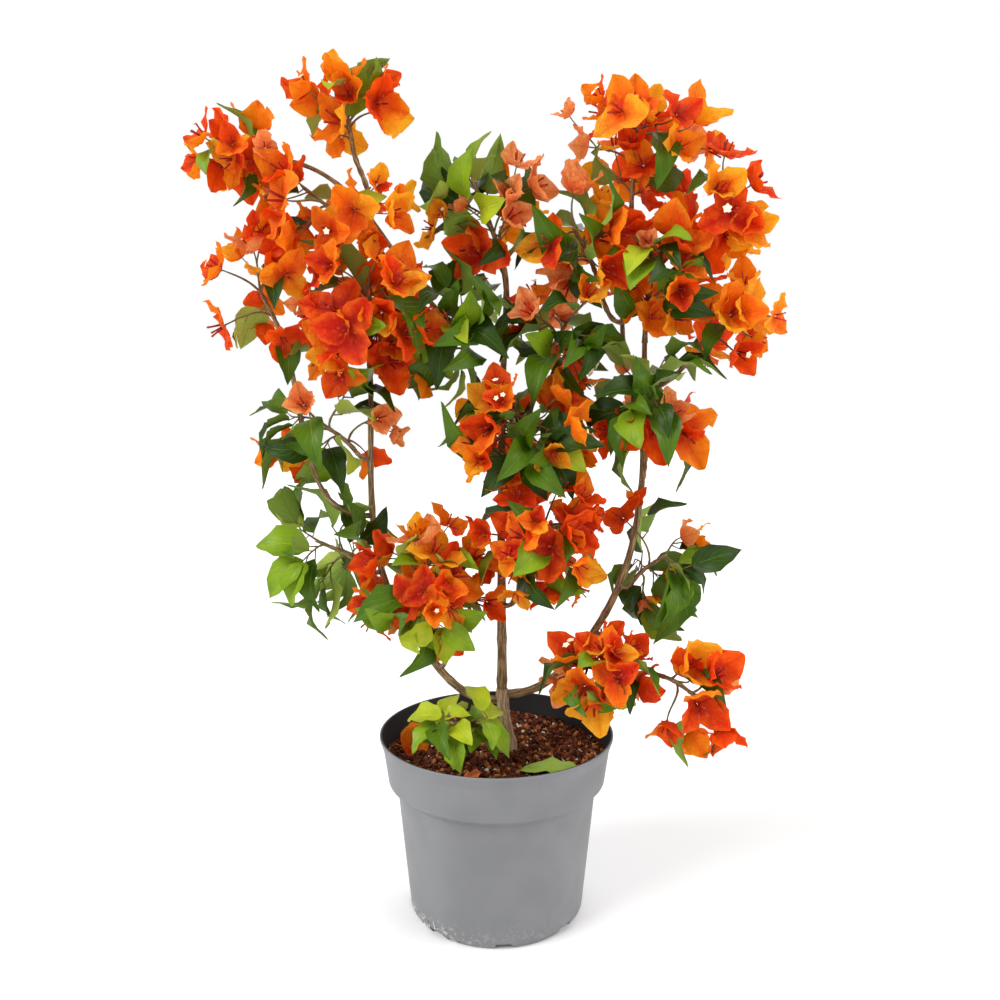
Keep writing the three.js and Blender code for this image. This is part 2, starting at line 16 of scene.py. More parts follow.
import bpy
import numpy as np
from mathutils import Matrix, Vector

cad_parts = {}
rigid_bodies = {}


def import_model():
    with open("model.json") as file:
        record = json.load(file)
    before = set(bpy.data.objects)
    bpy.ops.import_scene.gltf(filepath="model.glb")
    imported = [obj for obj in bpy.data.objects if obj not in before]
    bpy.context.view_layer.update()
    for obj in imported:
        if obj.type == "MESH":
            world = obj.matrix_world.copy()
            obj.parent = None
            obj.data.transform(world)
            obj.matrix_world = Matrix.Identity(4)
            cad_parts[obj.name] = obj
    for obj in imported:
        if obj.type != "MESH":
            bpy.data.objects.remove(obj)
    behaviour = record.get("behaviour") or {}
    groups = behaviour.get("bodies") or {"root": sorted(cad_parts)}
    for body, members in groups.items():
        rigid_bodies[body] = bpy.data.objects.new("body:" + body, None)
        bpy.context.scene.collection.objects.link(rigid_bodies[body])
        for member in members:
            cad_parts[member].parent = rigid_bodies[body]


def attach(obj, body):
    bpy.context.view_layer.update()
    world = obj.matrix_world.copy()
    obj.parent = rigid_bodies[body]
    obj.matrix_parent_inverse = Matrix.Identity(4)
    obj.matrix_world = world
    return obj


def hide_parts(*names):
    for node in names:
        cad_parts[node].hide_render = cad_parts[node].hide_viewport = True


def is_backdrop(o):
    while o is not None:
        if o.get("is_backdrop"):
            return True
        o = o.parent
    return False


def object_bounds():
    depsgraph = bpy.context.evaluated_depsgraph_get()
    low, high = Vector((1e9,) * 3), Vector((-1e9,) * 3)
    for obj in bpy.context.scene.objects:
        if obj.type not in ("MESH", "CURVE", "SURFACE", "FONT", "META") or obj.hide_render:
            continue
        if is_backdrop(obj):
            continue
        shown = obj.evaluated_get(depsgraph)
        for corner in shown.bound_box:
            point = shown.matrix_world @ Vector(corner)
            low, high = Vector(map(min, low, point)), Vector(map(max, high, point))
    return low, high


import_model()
CAD_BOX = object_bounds()

log = logging.getLogger("bougainvillea")

Array = np.ndarray
Tree = bpy.types.NodeTree
Source = bpy.types.Node | bpy.types.NodeSocket | float | Sequence[float]
MM = 0.001
FULL_TURN = 2 * math.pi
GOLDEN_ANGLE = math.pi * (3 - math.sqrt(5))
UP = np.array([0.0, 0.0, 1.0])
FRONT = np.array([0.0, -1.0, 0.0])
RIGHT = np.array([1.0, 0.0, 0.0])
BLADE_MAP = "OFBake"  # the UV map of leaves and bracts, which spreads one blade over the whole square
GRAIN_MAP = "grain"  # the UV map of bark: round the limb and along it, in metres

SEED = 307
SEED_STEP = 7919


# ---------------------------------------------------------------- vectors, chance and curves
def unit(v: Array) -> Array:
    """Vectors at unit length, along the last axis."""
    return v / np.maximum(np.linalg.norm(v, axis=-1, keepdims=True), 1e-9)


def across(v: Array, axis: Array) -> Array:
    """Unit vectors along v, with their part along the unit vectors axis taken out."""
    return unit(v - np.sum(v * axis, axis=-1, keepdims=True) * axis)


def spoke_at(axis: Array, first: Array, angle: float) -> Array:
    """The unit vector at an angle from first, round an axis that is square to it."""
    return math.cos(angle) * first + math.sin(angle) * np.cross(axis, first)


def between(limits: tuple[float, float], share: float) -> float:
    """The number at a share of the way from the first limit to the second."""
    return limits[0] + (limits[1] - limits[0]) * share


def smooth_step(x: Array, start: float, end: float) -> Array:
    """Rises from 0 at start to 1 at end along the curve 3t^2 - 2t^3."""
    t = np.clip((x - start) / (end - start), 0, 1)
    return t * t * (3 - 2 * t)


@dataclass
class NumberStream:
    """Numbers from 0 to 1, the same for the same seed: factor x state, less whole primes, over the prime."""

    state: int

    FACTOR, PRIME = 48271, 2147483647

    def draw(self) -> float:
        """The next number."""
        self.state = self.state * self.FACTOR % self.PRIME
        return self.state / self.PRIME

    def within(self, low: float, high: float) -> float:
        """The next number, spread from low to high."""
        return low + (high - low) * self.draw()


class Limb:
    """A tapering limb along a cubic curve, read at shares of its real length.

    The curve leaves its start along the first heading and reaches its end along the second. It keeps
    each heading for CURVE_PULL of the span.
    """

    CURVE_PULL = 0.36
    SAMPLES = 65

    def __init__(
        self, start: Array, leave: Array, end: Array, arrive: Array, radii: tuple[float, float]
    ) -> None:
        """Works out the curve's points and how far along it each one lies.

        Args:
            start: where the limb starts.
            leave: its heading there.
            end: where it ends.
            arrive: its heading there.
            radii: its radius at its start and at its end.
        """
        self.radii = radii
        pull = float(np.linalg.norm(end - start)) * self.CURVE_PULL
        corners = np.array([start, start + pull * unit(leave), end - pull * unit(arrive), end])
        t = np.linspace(0, 1, self.SAMPLES)[:, None]
        weights = [(1 - t) ** 3, 3 * t * (1 - t) ** 2, 3 * t**2 * (1 - t), t**3]
        self.points = sum(w * c for w, c in zip(weights, corners))
        steps = np.linalg.norm(np.diff(self.points, axis=0), axis=1)
        self.travelled = np.concatenate([[0], np.cumsum(steps)])
        self.tangents = unit(np.gradient(self.points, axis=0))

    @property
    def length(self) -> float:
        """The limb's length along its curve."""
        return float(self.travelled[-1])

    def _read(self, table: Array, shares: float | Array) -> Array:
        """Rows of a table of samples at shares of the length, by straight interpolation."""
        travelled = np.asarray(shares) * self.length
        return np.stack([np.interp(travelled, self.travelled, column) for column in table.T], axis=-1)

    def at(self, shares: float | Array) -> Array:
        """Points on the limb's middle line."""
        return self._read(self.points, shares)

    def rooted(self, shares: Array, depth: float) -> Array:
        """Points on the middle line, the first one drawn back by a depth into the parent."""
        back = np.where(np.asarray(shares) == 0, depth, 0.0)
        return self.at(shares) - back[:, None] * self.heading(0.0)

    def heading(self, shares: float | Array) -> Array:
        """Unit vectors along the limb."""
        return unit(self._read(self.tangents, shares))

    def radius(self, shares: float | Array) -> float | Array:
        """The limb's radius, which changes evenly along it."""
        return self.radii[0] + (self.radii[1] - self.radii[0]) * np.asarray(shares)


# ---------------------------------------------------------------- meshes
def write_mesh(
    name: str, points: Array, face_sets: list[Array], corner_uv: Array | None, uv_name: str
) -> bpy.types.Mesh:
    """Puts points and faces into a new mesh, smooth shaded.

    Args:
        name: the mesh's name.
        points: every vertex in millimetres.
        face_sets: arrays of faces, each array with one number of corners.
        corner_uv: one UV pair for each face corner, or None.
        uv_name: the UV map's name.

    Returns:
        The mesh, in metres.
    """
    corners = np.concatenate([faces.ravel() for faces in face_sets]).astype(np.int32)
    sizes = np.concatenate([np.full(len(faces), faces.shape[1]) for faces in face_sets])
    starts = np.concatenate([[0], np.cumsum(sizes)[:-1]]).astype(np.int32)
    mesh = bpy.data.meshes.new(name)
    mesh.vertices.add(len(points))
    mesh.vertices.foreach_set("co", (points * MM).astype(np.float32).ravel())
    mesh.loops.add(len(corners))
    mesh.loops.foreach_set("vertex_index", corners)
    mesh.polygons.add(len(sizes))
    mesh.polygons.foreach_set("loop_start", starts)
    mesh.update(calc_edges=True)
    mesh.polygons.foreach_set("use_smooth", np.ones(len(sizes), dtype=bool))
    if corner_uv is not None:
        mesh.uv_layers.new(name=uv_name).data.foreach_set("uv", corner_uv.astype(np.float32).ravel())
    return mesh


def sharpen_rim(mesh: bpy.types.Mesh, on_rim: Array) -> None:
    """Marks the edges between two rim vertices as sharp, so a thin blade's two sides shade apart.

    Args:
        mesh: the blades.
        on_rim: which vertices lie on a blade's rim.
    """
    ends = np.zeros(2 * len(mesh.edges), dtype=np.int32)
    mesh.edges.foreach_get("vertices", ends)
    sharp = mesh.attributes.new("sharp_edge", "BOOLEAN", "EDGE")
    sharp.data.foreach_set("value", on_rim[ends.reshape(-1, 2)].all(axis=1))


class Finish(Protocol):
    """Anything that builds its own material."""

    def material(self) -> bpy.types.Material:
        """A new material."""
        ...


@cache
def made_of(finish: Finish) -> bpy.types.Material:
    """The material of a finish, built the first time it is asked for."""
    return finish.material()


def put(mesh: bpy.types.Mesh, finish: Finish, slot: str, replaced: list[str]) -> bpy.types.Object:
    """Links a mesh as a piece of the plant that rides on its one body.

    Args:
        mesh: the finished mesh, whose name becomes the piece's.
        finish: its finish.
        slot: the record's material slot.
        replaced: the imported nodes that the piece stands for.

    Returns:
        The piece.
    """
    piece = bpy.data.objects.new(mesh.name, mesh)
    bpy.context.scene.collection.objects.link(piece)
    # slot: the record's material slot; not used.
    mesh.materials.append(made_of(finish))
    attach(piece, "root")
    if replaced:
        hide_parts(*replaced)
    log.info("%s: %d faces", mesh.name, len(mesh.polygons))
    return piece


def grid_faces(rows: int, columns: int, closed: bool) -> Array:
    """Quads of a grid whose points run along each row in turn.

    Args:
        rows: how many rows of points there are.
        columns: how many points a row has.
        closed: whether the last point of a row joins its first.

    Returns:
        An array of four corners each, turned so that row direction times column direction faces out.
    """
    i, k = np.meshgrid(np.arange(rows - 1), np.arange(columns if closed else columns - 1), indexing="ij")
    following = (k + 1) % columns
    quads = [i * columns + k, i * columns + following, (i + 1) * columns + following, (i + 1) * columns + k]
    return np.stack(quads, axis=-1).reshape(-1, 4)


def end_faces(rows: int, columns: int) -> list[Array]:
    """The two faces that close a grid of closed rows at its first and its last row."""
    return [np.arange(columns)[None, ::-1], np.arange(columns)[None] + (rows - 1) * columns]


def tube_grid(centres: Array, radii: Array, sides: int) -> Array:
    """Rings of points round many middle lines at once.

    A ring point is the centre plus the radius times (cos a x first + sin a x second). First is square
    to the tangent and as near as can be to one direction square to the whole line, and second is the
    tangent times first.

    Args:
        centres: middle lines, shaped (lines, rings, 3).
        radii: shaped (lines, rings) or (lines, rings, sides).
        sides: points on a ring.

    Returns:
        Points shaped (lines, rings, sides, 3).
    """
    tangents = unit(np.gradient(centres, axis=1))
    chord = unit(centres[:, -1] - centres[:, 0])
    helper = np.where(np.abs(chord[:, 2:]) < 0.9, UP, RIGHT)
    first = across(np.broadcast_to(across(helper, chord)[:, None], tangents.shape), tangents)
    second = np.cross(tangents, first)
    angle = np.linspace(0, FULL_TURN, sides, endpoint=False)[:, None]
    ring = np.cos(angle) * first[..., None, :] + np.sin(angle) * second[..., None, :]
    wide = radii if radii.ndim == 3 else radii[..., None]
    return centres[..., None, :] + wide[..., None] * ring


def tube_faces(lines: int, rings: int, sides: int) -> list[Array]:
    """The walls and the two end caps of many tubes made by tube_grid.

    Args:
        lines: how many tubes there are.
        rings: rings of a tube.
        sides: points on a ring.

    Returns:
        Three arrays of faces: walls, starts and ends.
    """
    each = (np.arange(lines) * rings * sides)[:, None, None]
    walls = (grid_faces(rings, sides, closed=True) + each).reshape(-1, 4)
    start = np.arange(sides)[::-1] + each[:, 0]
    end = np.arange(sides) + (rings - 1) * sides + each[:, 0]
    return [walls, start, end]


@dataclass(frozen=True)
class Stamp:
    """A small mesh that is set down many times.

    It grows along +Y from its root at the origin, and its upper side looks to +Z. It has a few
    versions, which share their faces and UV pairs.
    """

    points: Array  # (versions, vertices, 3)
    face_sets: list[Array]
    corner_uv: Array
    rim: Array | None = None  # which vertices lie on the rim of a thin blade


@dataclass
class Bed:
    """The places where one stamp is set down in one finish."""

    stamp: Stamp
    rows: list[tuple[Array, Array, Array, float]] = field(default_factory=list)

    def add(self, root: Array, along: Array, normal: Array, scale: float) -> None:
        """Adds a place: its root, its two unit directions and its scale."""
        self.rows.append((root, along, normal, scale))

    def mesh(self, name: str) -> bpy.types.Mesh:
        """Joins all stamps: point = root + scale x (x side + y along + z normal), side = along x normal.

        Args:
            name: the mesh's name.

        Returns:
            The mesh, which takes the stamp's versions in turn.
        """
        roots, along, normal = (np.array([row[i] for row in self.rows]) for i in range(3))
        scale = np.array([row[3] for row in self.rows])[:, None, None]
        basis = np.stack([np.cross(along, normal), along, normal], axis=1)
        version = np.arange(len(self.rows)) % len(self.stamp.points)
        points = roots[:, None] + scale * np.einsum("nvc,ncd->nvd", self.stamp.points[version], basis)
        count, each = points.shape[:2]
        offset = (np.arange(count) * each)[:, None, None]
        sets = [(faces + offset).reshape(-1, faces.shape[1]) for faces in self.stamp.face_sets]
        splits = np.cumsum([faces.size for faces in self.stamp.face_sets])[:-1]
        uv = np.concatenate([np.tile(part, (count, 1)) for part in np.split(self.stamp.corner_uv, splits)])
        made = write_mesh(name, points.reshape(-1, 3), sets, uv, BLADE_MAP)
        if self.stamp.rim is not None:
            sharpen_rim(made, np.tile(self.stamp.rim, count))
        return made


# ---------------------------------------------------------------- shader nodes
def linear(colour: str) -> tuple[float, float, float, float]:
    """The linear colour of an sRGB hex value such as "#ff8800"."""
    parts = [int(colour[i : i + 2], 16) / 255 for i in (1, 3, 5)]
    return (*(p / 12.92 if p <= 0.04045 else ((p + 0.055) / 1.055) ** 2.4 for p in parts), 1.0)


def plug(tree: Tree, node: bpy.types.Node, inputs: Sequence[Source] | dict[str | int, Source]) -> None:
    """Sets or links a node's inputs.

    Args:
        tree: the tree that the node is in.
        node: the node.
        inputs: values, output sockets or nodes, in the order of the node's sockets or by their names
            or numbers. A node stands for the first of its outputs that is in use.
    """
    for key, value in inputs.items() if isinstance(inputs, dict) else enumerate(inputs):
        if isinstance(value, bpy.types.Node):
            value = next(output for output in value.outputs if output.enabled)
        if isinstance(value, bpy.types.NodeSocket):
            tree.links.new(value, node.inputs[key])
        else:
            node.inputs[key].default_value = value


def add_node(
    tree: Tree, kind: str, inputs: Sequence[Source] | dict[str | int, Source] = (), **settings: str
) -> bpy.types.Node:
    """Adds a shader node with its settings, and sets or links its inputs.

    Args:
        tree: the tree it goes into.
        kind: its type, without the word ShaderNode that starts it.
        inputs: as for plug.
        **settings: the node's own properties.

    Returns:
        The node.
    """
    node = tree.nodes.new(f"ShaderNode{kind}")
    for name, value in settings.items():
        setattr(node, name, value)
    plug(tree, node, inputs)
    return node


SMOOTH = {"interpolation_type": "SMOOTHSTEP"}  # a range that is entered and left without a corner
COLOURS = {"data_type": "RGBA"}  # a mix of colours: input 0 is the share, 6 and 7 are the two colours


def sized(place: Source, size_mm: float, detail: float = 0.0) -> dict[str, Source]:
    """A pattern's inputs: where it is read, its scale from a real size, and its finer layers."""
    return {"Vector": place, "Scale": 1 / (size_mm * MM), "Detail": detail}


def new_material(name: str) -> tuple[bpy.types.Material, Tree, bpy.types.Node]:
    """Makes a material with one Principled shader.

    Args:
        name: what it is made of and how.

    Returns:
        The material, its tree and its shader.
    """
    material = bpy.data.materials.new(name)
    material.use_nodes = True
    tree = material.node_tree
    return material, tree, tree.nodes["Principled BSDF"]


SIDE_VEIN_WIDTH = 0.09  # half of it, as a share of the spacing of side veins
MIDRIB_WIDTH = 0.075  # half of it, as a share of half the blade


def vein_lines(tree: Tree, off_middle: Source, along: Source, pairs: float, rise: float) -> bpy.types.Node:
    """How much a point lies on the midrib or a side vein, from 0 to 1.

    Side veins lie where pairs x along - rise x distance from the midrib is half past a whole number.

    Args:
        tree: the material's tree.
        off_middle: distance from the midrib, 0 there and 1 at the rim.
        along: distance along the blade, from 0 to 1.
        pairs: how many pairs of side veins there are.
        rise: how many vein spacings a side vein climbs on its way to the rim.

    Returns:
        A node whose output is a number.
    """
    spaced = add_node(tree, "Math", [along, pairs], operation="MULTIPLY")
    climbed = add_node(tree, "Math", [off_middle, -rise, spaced], operation="MULTIPLY_ADD")
    phase = add_node(tree, "Math", [climbed], operation="FRACT")
    off_half = add_node(tree, "Math", [phase, 0.5], operation="SUBTRACT")
    off_vein = add_node(tree, "Math", [off_half], operation="ABSOLUTE")
    side = add_node(tree, "MapRange", [off_vein, 0.0, SIDE_VEIN_WIDTH, 1.0, 0.0], **SMOOTH)
    fading = add_node(tree, "MapRange", [off_middle, 0.4, 1.0, 0.75, 0.1], **SMOOTH)
    faded = add_node(tree, "Math", [side, fading], operation="MULTIPLY")
    middle = add_node(tree, "MapRange", [off_middle, 0.0, MIDRIB_WIDTH, 1.0, 0.0], **SMOOTH)
    return add_node(tree, "Math", [middle, faded], operation="MAXIMUM")


# ---------------------------------------------------------------- finishes of the plant
@dataclass(frozen=True)
class PaperyBract:
    """Papery bract of bougainvillea, grown: thin, dry and matt, with light coming through it.

    The eye sees a deeper colour at the root, partly the bract's own dye and partly painted shade where
    the three bracts overlap, a fine net of veins, a glow where light comes from behind, and a painted
    highlight on the crests of the crinkles.
    """

    name: str
    blade: str
    # the colour at the root, deeper partly by the bract's own dye and partly as painted shade
    root: str
    margin: str
    vein: str
    glow: str
    vein_strength: float = 0.5
    net_strength: float = 0.62  # of the net beside the main veins
    # the strength of the painted highlight that lightens the crests of the crinkles
    crest_highlight_strength: float = 0.4  # of the pale crests of the crinkles
    roughness: float = 0.62
    specular: float = 0.22
    light_through: float = 0.36
    blade_mm: float = 30.0
    net_mm: float = 3.0  # meshes of the vein net, drawn a little coarser than life so that they show
    blotch_mm: float = 16.0
    crinkle_mm: float = 4.5
    crinkle_depth_mm: float = 1.9
    vein_height_mm: float = 0.5

    def material(self) -> bpy.types.Material:
        """Builds the veins on the blade's own UV map, and blotches and crinkles in the plant's space.

        Returns:
            The material.
        """
        material, tree, shader = new_material(self.name)
        blade = add_node(tree, "UVMap", uv_map=BLADE_MAP)
        over, along = add_node(tree, "SeparateXYZ", [blade]).outputs[:2]
        place = add_node(tree, "TexCoord").outputs["Object"]
        sideways = add_node(tree, "Math", [over, 2.0, -1.0], operation="MULTIPLY_ADD")
        off_middle = add_node(tree, "Math", [sideways], operation="ABSOLUTE")
        veins = vein_lines(tree, off_middle, along, pairs=6.0, rise=2.4)
        cell = {"Vector": blade, "Scale": self.blade_mm / self.net_mm}
        from_edge = add_node(tree, "TexVoronoi", cell, feature="DISTANCE_TO_EDGE")
        net = add_node(tree, "MapRange", [from_edge, 0.0, 0.14, self.net_strength, 0.0], **SMOOTH)
        pattern = add_node(tree, "Math", [veins, net], operation="MAXIMUM")

        # Deeper towards the root: partly the bract's own dye, partly painted shade where the three bracts of
        # a blossom overlap.
        up_blade = add_node(tree, "MapRange", [along, 0.05, 0.75], **SMOOTH)
        root_dye_and_shade = {0: up_blade, 6: linear(self.root), 7: linear(self.blade)}
        rooted = add_node(tree, "Mix", root_dye_and_shade, **COLOURS)
        towards_tip = add_node(tree, "Math", [along, 0.6], operation="MULTIPLY")
        outwards = add_node(tree, "Math", [off_middle, 0.55, towards_tip], operation="MULTIPLY_ADD")
        blotches = add_node(tree, "TexNoise", sized(place, self.blotch_mm, 2.0))
        uneven = add_node(tree, "Math", [blotches, 1.5, outwards], operation="MULTIPLY_ADD")
        edged = add_node(tree, "MapRange", [uneven, 1.06, 1.72], **SMOOTH)
        dyed = add_node(tree, "Mix", {0: edged, 6: rooted, 7: linear(self.margin)}, **COLOURS)
        share = add_node(tree, "Math", [pattern, self.vein_strength], operation="MULTIPLY")
        veined = add_node(tree, "Mix", {0: share, 6: dyed, 7: linear(self.vein)}, **COLOURS)
        crinkles = add_node(tree, "TexNoise", sized(place, self.crinkle_mm, 3.0))
        # Painted highlight: where the crinkle bump stands high, the colour is lightened towards the margin
        # colour.
        painted_crest_highlight = add_node(tree, "MapRange", [crinkles, 0.52, 0.74, 0.0, self.crest_highlight_strength], **SMOOTH)
        colour = add_node(tree, "Mix", {0: painted_crest_highlight, 6: veined, 7: linear(self.margin)}, **COLOURS)

        wrinkled = {"Strength": 0.8, "Distance": self.crinkle_depth_mm * MM, "Height": crinkles}
        ribbed = {"Strength": 0.6, "Distance": self.vein_height_mm * MM, "Height": pattern}
        relief = add_node(tree, "Bump", ribbed | {"Normal": add_node(tree, "Bump", wrinkled)})
        plug(tree, shader, {"Base Color": colour, "Roughness": self.roughness, "Normal": relief})
        plug(tree, shader, {"Specular IOR Level": self.specular})
        through = add_node(tree, "BsdfTranslucent", {"Color": linear(self.glow)})
        both = add_node(tree, "MixShader", [self.light_through, shader, through])
        plug(tree, tree.nodes["Material Output"], [both])
        return material


@dataclass(frozen=True)
class WaxyLeaf:
    """Leaf of bougainvillea, grown: smooth and waxy above, paler and duller below.

    The eye sees a light midrib with faint side veins, a soft gloss and a slight quilting between the
    veins.
    """

    name: str
    upper: str
    margin: str
    under: str
    vein: str
    roughness: float = 0.42
    under_roughness: float = 0.25  # how much rougher the lower side is
    specular: float = 0.22
    vein_strength: float = 0.5
    blade_mm: float = 50.0
    mottle_mm: float = 16.0
    quilt_depth_mm: float = 0.7

    def material(self) -> bpy.types.Material:
        """Builds the material. The UV map holds the upper side on its left half, the lower on its right.

        Returns:
            The material.
        """
        material, tree, shader = new_material(self.name)
        blade = add_node(tree, "UVMap", uv_map=BLADE_MAP)
        over, along = add_node(tree, "SeparateXYZ", [blade]).outputs[:2]
        below = add_node(tree, "Math", [over, 0.5], operation="GREATER_THAN")
        doubled = add_node(tree, "Math", [over, 2.0], operation="MULTIPLY")
        own_half = add_node(tree, "Math", [doubled], operation="FRACT")
        sideways = add_node(tree, "Math", [own_half, 2.0, -1.0], operation="MULTIPLY_ADD")
        off_middle = add_node(tree, "Math", [sideways], operation="ABSOLUTE")
        veins = vein_lines(tree, off_middle, along, pairs=7.0, rise=2.6)

        mottle = {"Vector": blade, "Scale": self.blade_mm / self.mottle_mm, "Detail": 2.0}
        mottled = add_node(tree, "TexNoise", mottle)
        lighter = add_node(tree, "MapRange", [mottled, 0.35, 0.7], **SMOOTH)
        greens = {0: lighter, 6: linear(self.upper), 7: linear(self.margin)}
        ground = add_node(tree, "Mix", greens, **COLOURS)
        face = add_node(tree, "Mix", {0: below, 6: ground, 7: linear(self.under)}, **COLOURS)
        share = add_node(tree, "Math", [veins, self.vein_strength], operation="MULTIPLY")
        colour = add_node(tree, "Mix", {0: share, 6: face, 7: linear(self.vein)}, **COLOURS)

        raised = add_node(tree, "Math", [1.0, veins], operation="SUBTRACT")
        quilting = {"Strength": 0.55, "Distance": self.quilt_depth_mm * MM, "Height": raised}
        relief = add_node(tree, "Bump", quilting)
        dulling = [below, self.under_roughness, self.roughness]
        duller = add_node(tree, "Math", dulling, operation="MULTIPLY_ADD")
        plug(tree, shader, {"Base Color": colour, "Roughness": duller, "Normal": relief})
        plug(tree, shader, {"Specular IOR Level": self.specular})
        return material


@dataclass(frozen=True)
class Bark:
    """Bark of a young woody climber, grown: thin, grey-brown and cracked lengthwise.

    The eye sees long shallow cracks that follow the limb, paler cork between them, and small pale
    dots where the bark breathes.
    """

    name: str
    cork: str
    crack: str
    dot: str
    roughness: float = 0.85
    crack_mm: float = 1.6
    crack_depth_mm: float = 0.6
    stretch: float = 7.0  # how many times longer than wide a crack is
    dot_mm: float = 3.2  # spacing of the dots
    dot_strength: float = 0.7

    def material(self) -> bpy.types.Material:
        """Builds the material on the limb's own grain.

        Returns:
            The material.
        """
        material, tree, shader = new_material(self.name)
        grain = add_node(tree, "UVMap", uv_map=GRAIN_MAP)
        lengthened = {"Vector": grain, "Scale": (1.0, 1 / self.stretch, 1.0)}
        drawn_out = add_node(tree, "Mapping", lengthened)
        fibres = add_node(tree, "TexNoise", sized(drawn_out, self.crack_mm, 5.0))
        cracked = add_node(tree, "MapRange", [fibres, 0.42, 0.58], **SMOOTH)
        browns = {0: cracked, 6: linear(self.crack), 7: linear(self.cork)}
        wood = add_node(tree, "Mix", browns, **COLOURS)
        from_dot = add_node(tree, "TexVoronoi", sized(grain, self.dot_mm))
        dotted = add_node(tree, "MapRange", [from_dot, 0.12, 0.22, self.dot_strength, 0.0], **SMOOTH)
        colour = add_node(tree, "Mix", {0: dotted, 6: wood, 7: linear(self.dot)}, **COLOURS)
        cracks = {"Strength": 0.8, "Distance": self.crack_depth_mm * MM, "Height": cracked}
        relief = add_node(tree, "Bump", cracks)
        plug(tree, shader, {"Base Color": colour, "Roughness": self.roughness, "Normal": relief})
        return material


@dataclass(frozen=True)
class SoftTissue:
    """Young green stem, flower tube or petal, grown: smooth, with a faint change of colour in patches."""

    name: str
    first: str
    second: str
    roughness: float = 0.55
    blotch_mm: float = 6.0

    def material(self) -> bpy.types.Material:
        """Builds the material from one soft blend of two colours.

        Returns:
            The material.
        """
        material, tree, shader = new_material(self.name)
        place = add_node(tree, "TexCoord").outputs["Object"]
        blotches = add_node(tree, "TexNoise", sized(place, self.blotch_mm, 2.0))
        share = add_node(tree, "MapRange", [blotches, 0.35, 0.65], **SMOOTH)
        blend = {0: share, 6: linear(self.first), 7: linear(self.second)}
        colour = add_node(tree, "Mix", blend, **COLOURS)
        plug(tree, shader, {"Base Color": colour, "Roughness": self.roughness})
        return material


class Tint(Enum):
    """The colours that bracts come in: each has its blade, root, margin, veins and glow."""

    AMBER = PaperyBract("papery_bract_amber", "#ff940e", "#f64e04", "#ffb82a", "#e05a08", "#ffbe24")
    ORANGE = PaperyBract("papery_bract_orange", "#fb6206", "#dc2402", "#ff941a", "#c43004", "#ff960c")
    FLAME = PaperyBract("papery_bract_flame", "#e22c04", "#a00600", "#fb660a", "#940a00", "#ff5606")
    SALMON = PaperyBract("papery_bract_salmon", "#fa8842", "#ea5622", "#ffb070", "#b04220", "#ffa058", 0.8)


TINT_ORDER = [Tint.AMBER, Tint.ORANGE, Tint.FLAME]
TINT_KEPT = (0.28, 0.74)  # the chances between which a bract keeps its spray's tint


def neighbour_tint(tint: Tint, chance: float) -> Tint:
    """The tint itself, or for a small or large chance the next one to it.

    Args:
        tint: the spray's tint.
        chance: a number from 0 to 1.

    Returns:
        The bract's tint.
    """
    if tint is Tint.SALMON or TINT_KEPT[0] < chance < TINT_KEPT[1]:
        return tint
    step = -1 if chance < 0.5 else 1
    return TINT_ORDER[min(max(TINT_ORDER.index(tint) + step, 0), len(TINT_ORDER) - 1)]


class Green(Enum):
    """The greens of leaves, from old to young: each has its upper side, margin, underside and veins."""

    DARK = WaxyLeaf("waxy_leaf_dark", "#2a4406", "#1f3403", "#6c8630", "#608222")
    MID = WaxyLeaf("waxy_leaf_mid", "#4c6c0a", "#3c5c08", "#809a3c", "#7c982a")
    FRESH = WaxyLeaf("waxy_leaf_fresh", "#7c9a16", "#668610", "#9eae48", "#a8bc3a")
    YOUNG = WaxyLeaf("waxy_leaf_young", "#a4b01c", "#8ca216", "#b2be54", "#c2cc48", 0.5)


TRUNK_BARK = Bark("trunk_bark", "#c8b08e", "#a08464", "#dcc8a8")
BOUGH_BARK = Bark("bough_bark", "#a88c62", "#725a3c", "#c4ae88")
TWIG_GREEN = SoftTissue("green_twig", "#6c7030", "#70442c")
FLOWER_TUBE = SoftTissue("flower_tube", "#8e1a10", "#b8361c")
STAR_PETAL = SoftTissue("star_petal", "#fff4dc", "#fbe9b8", 0.6, 2.0)


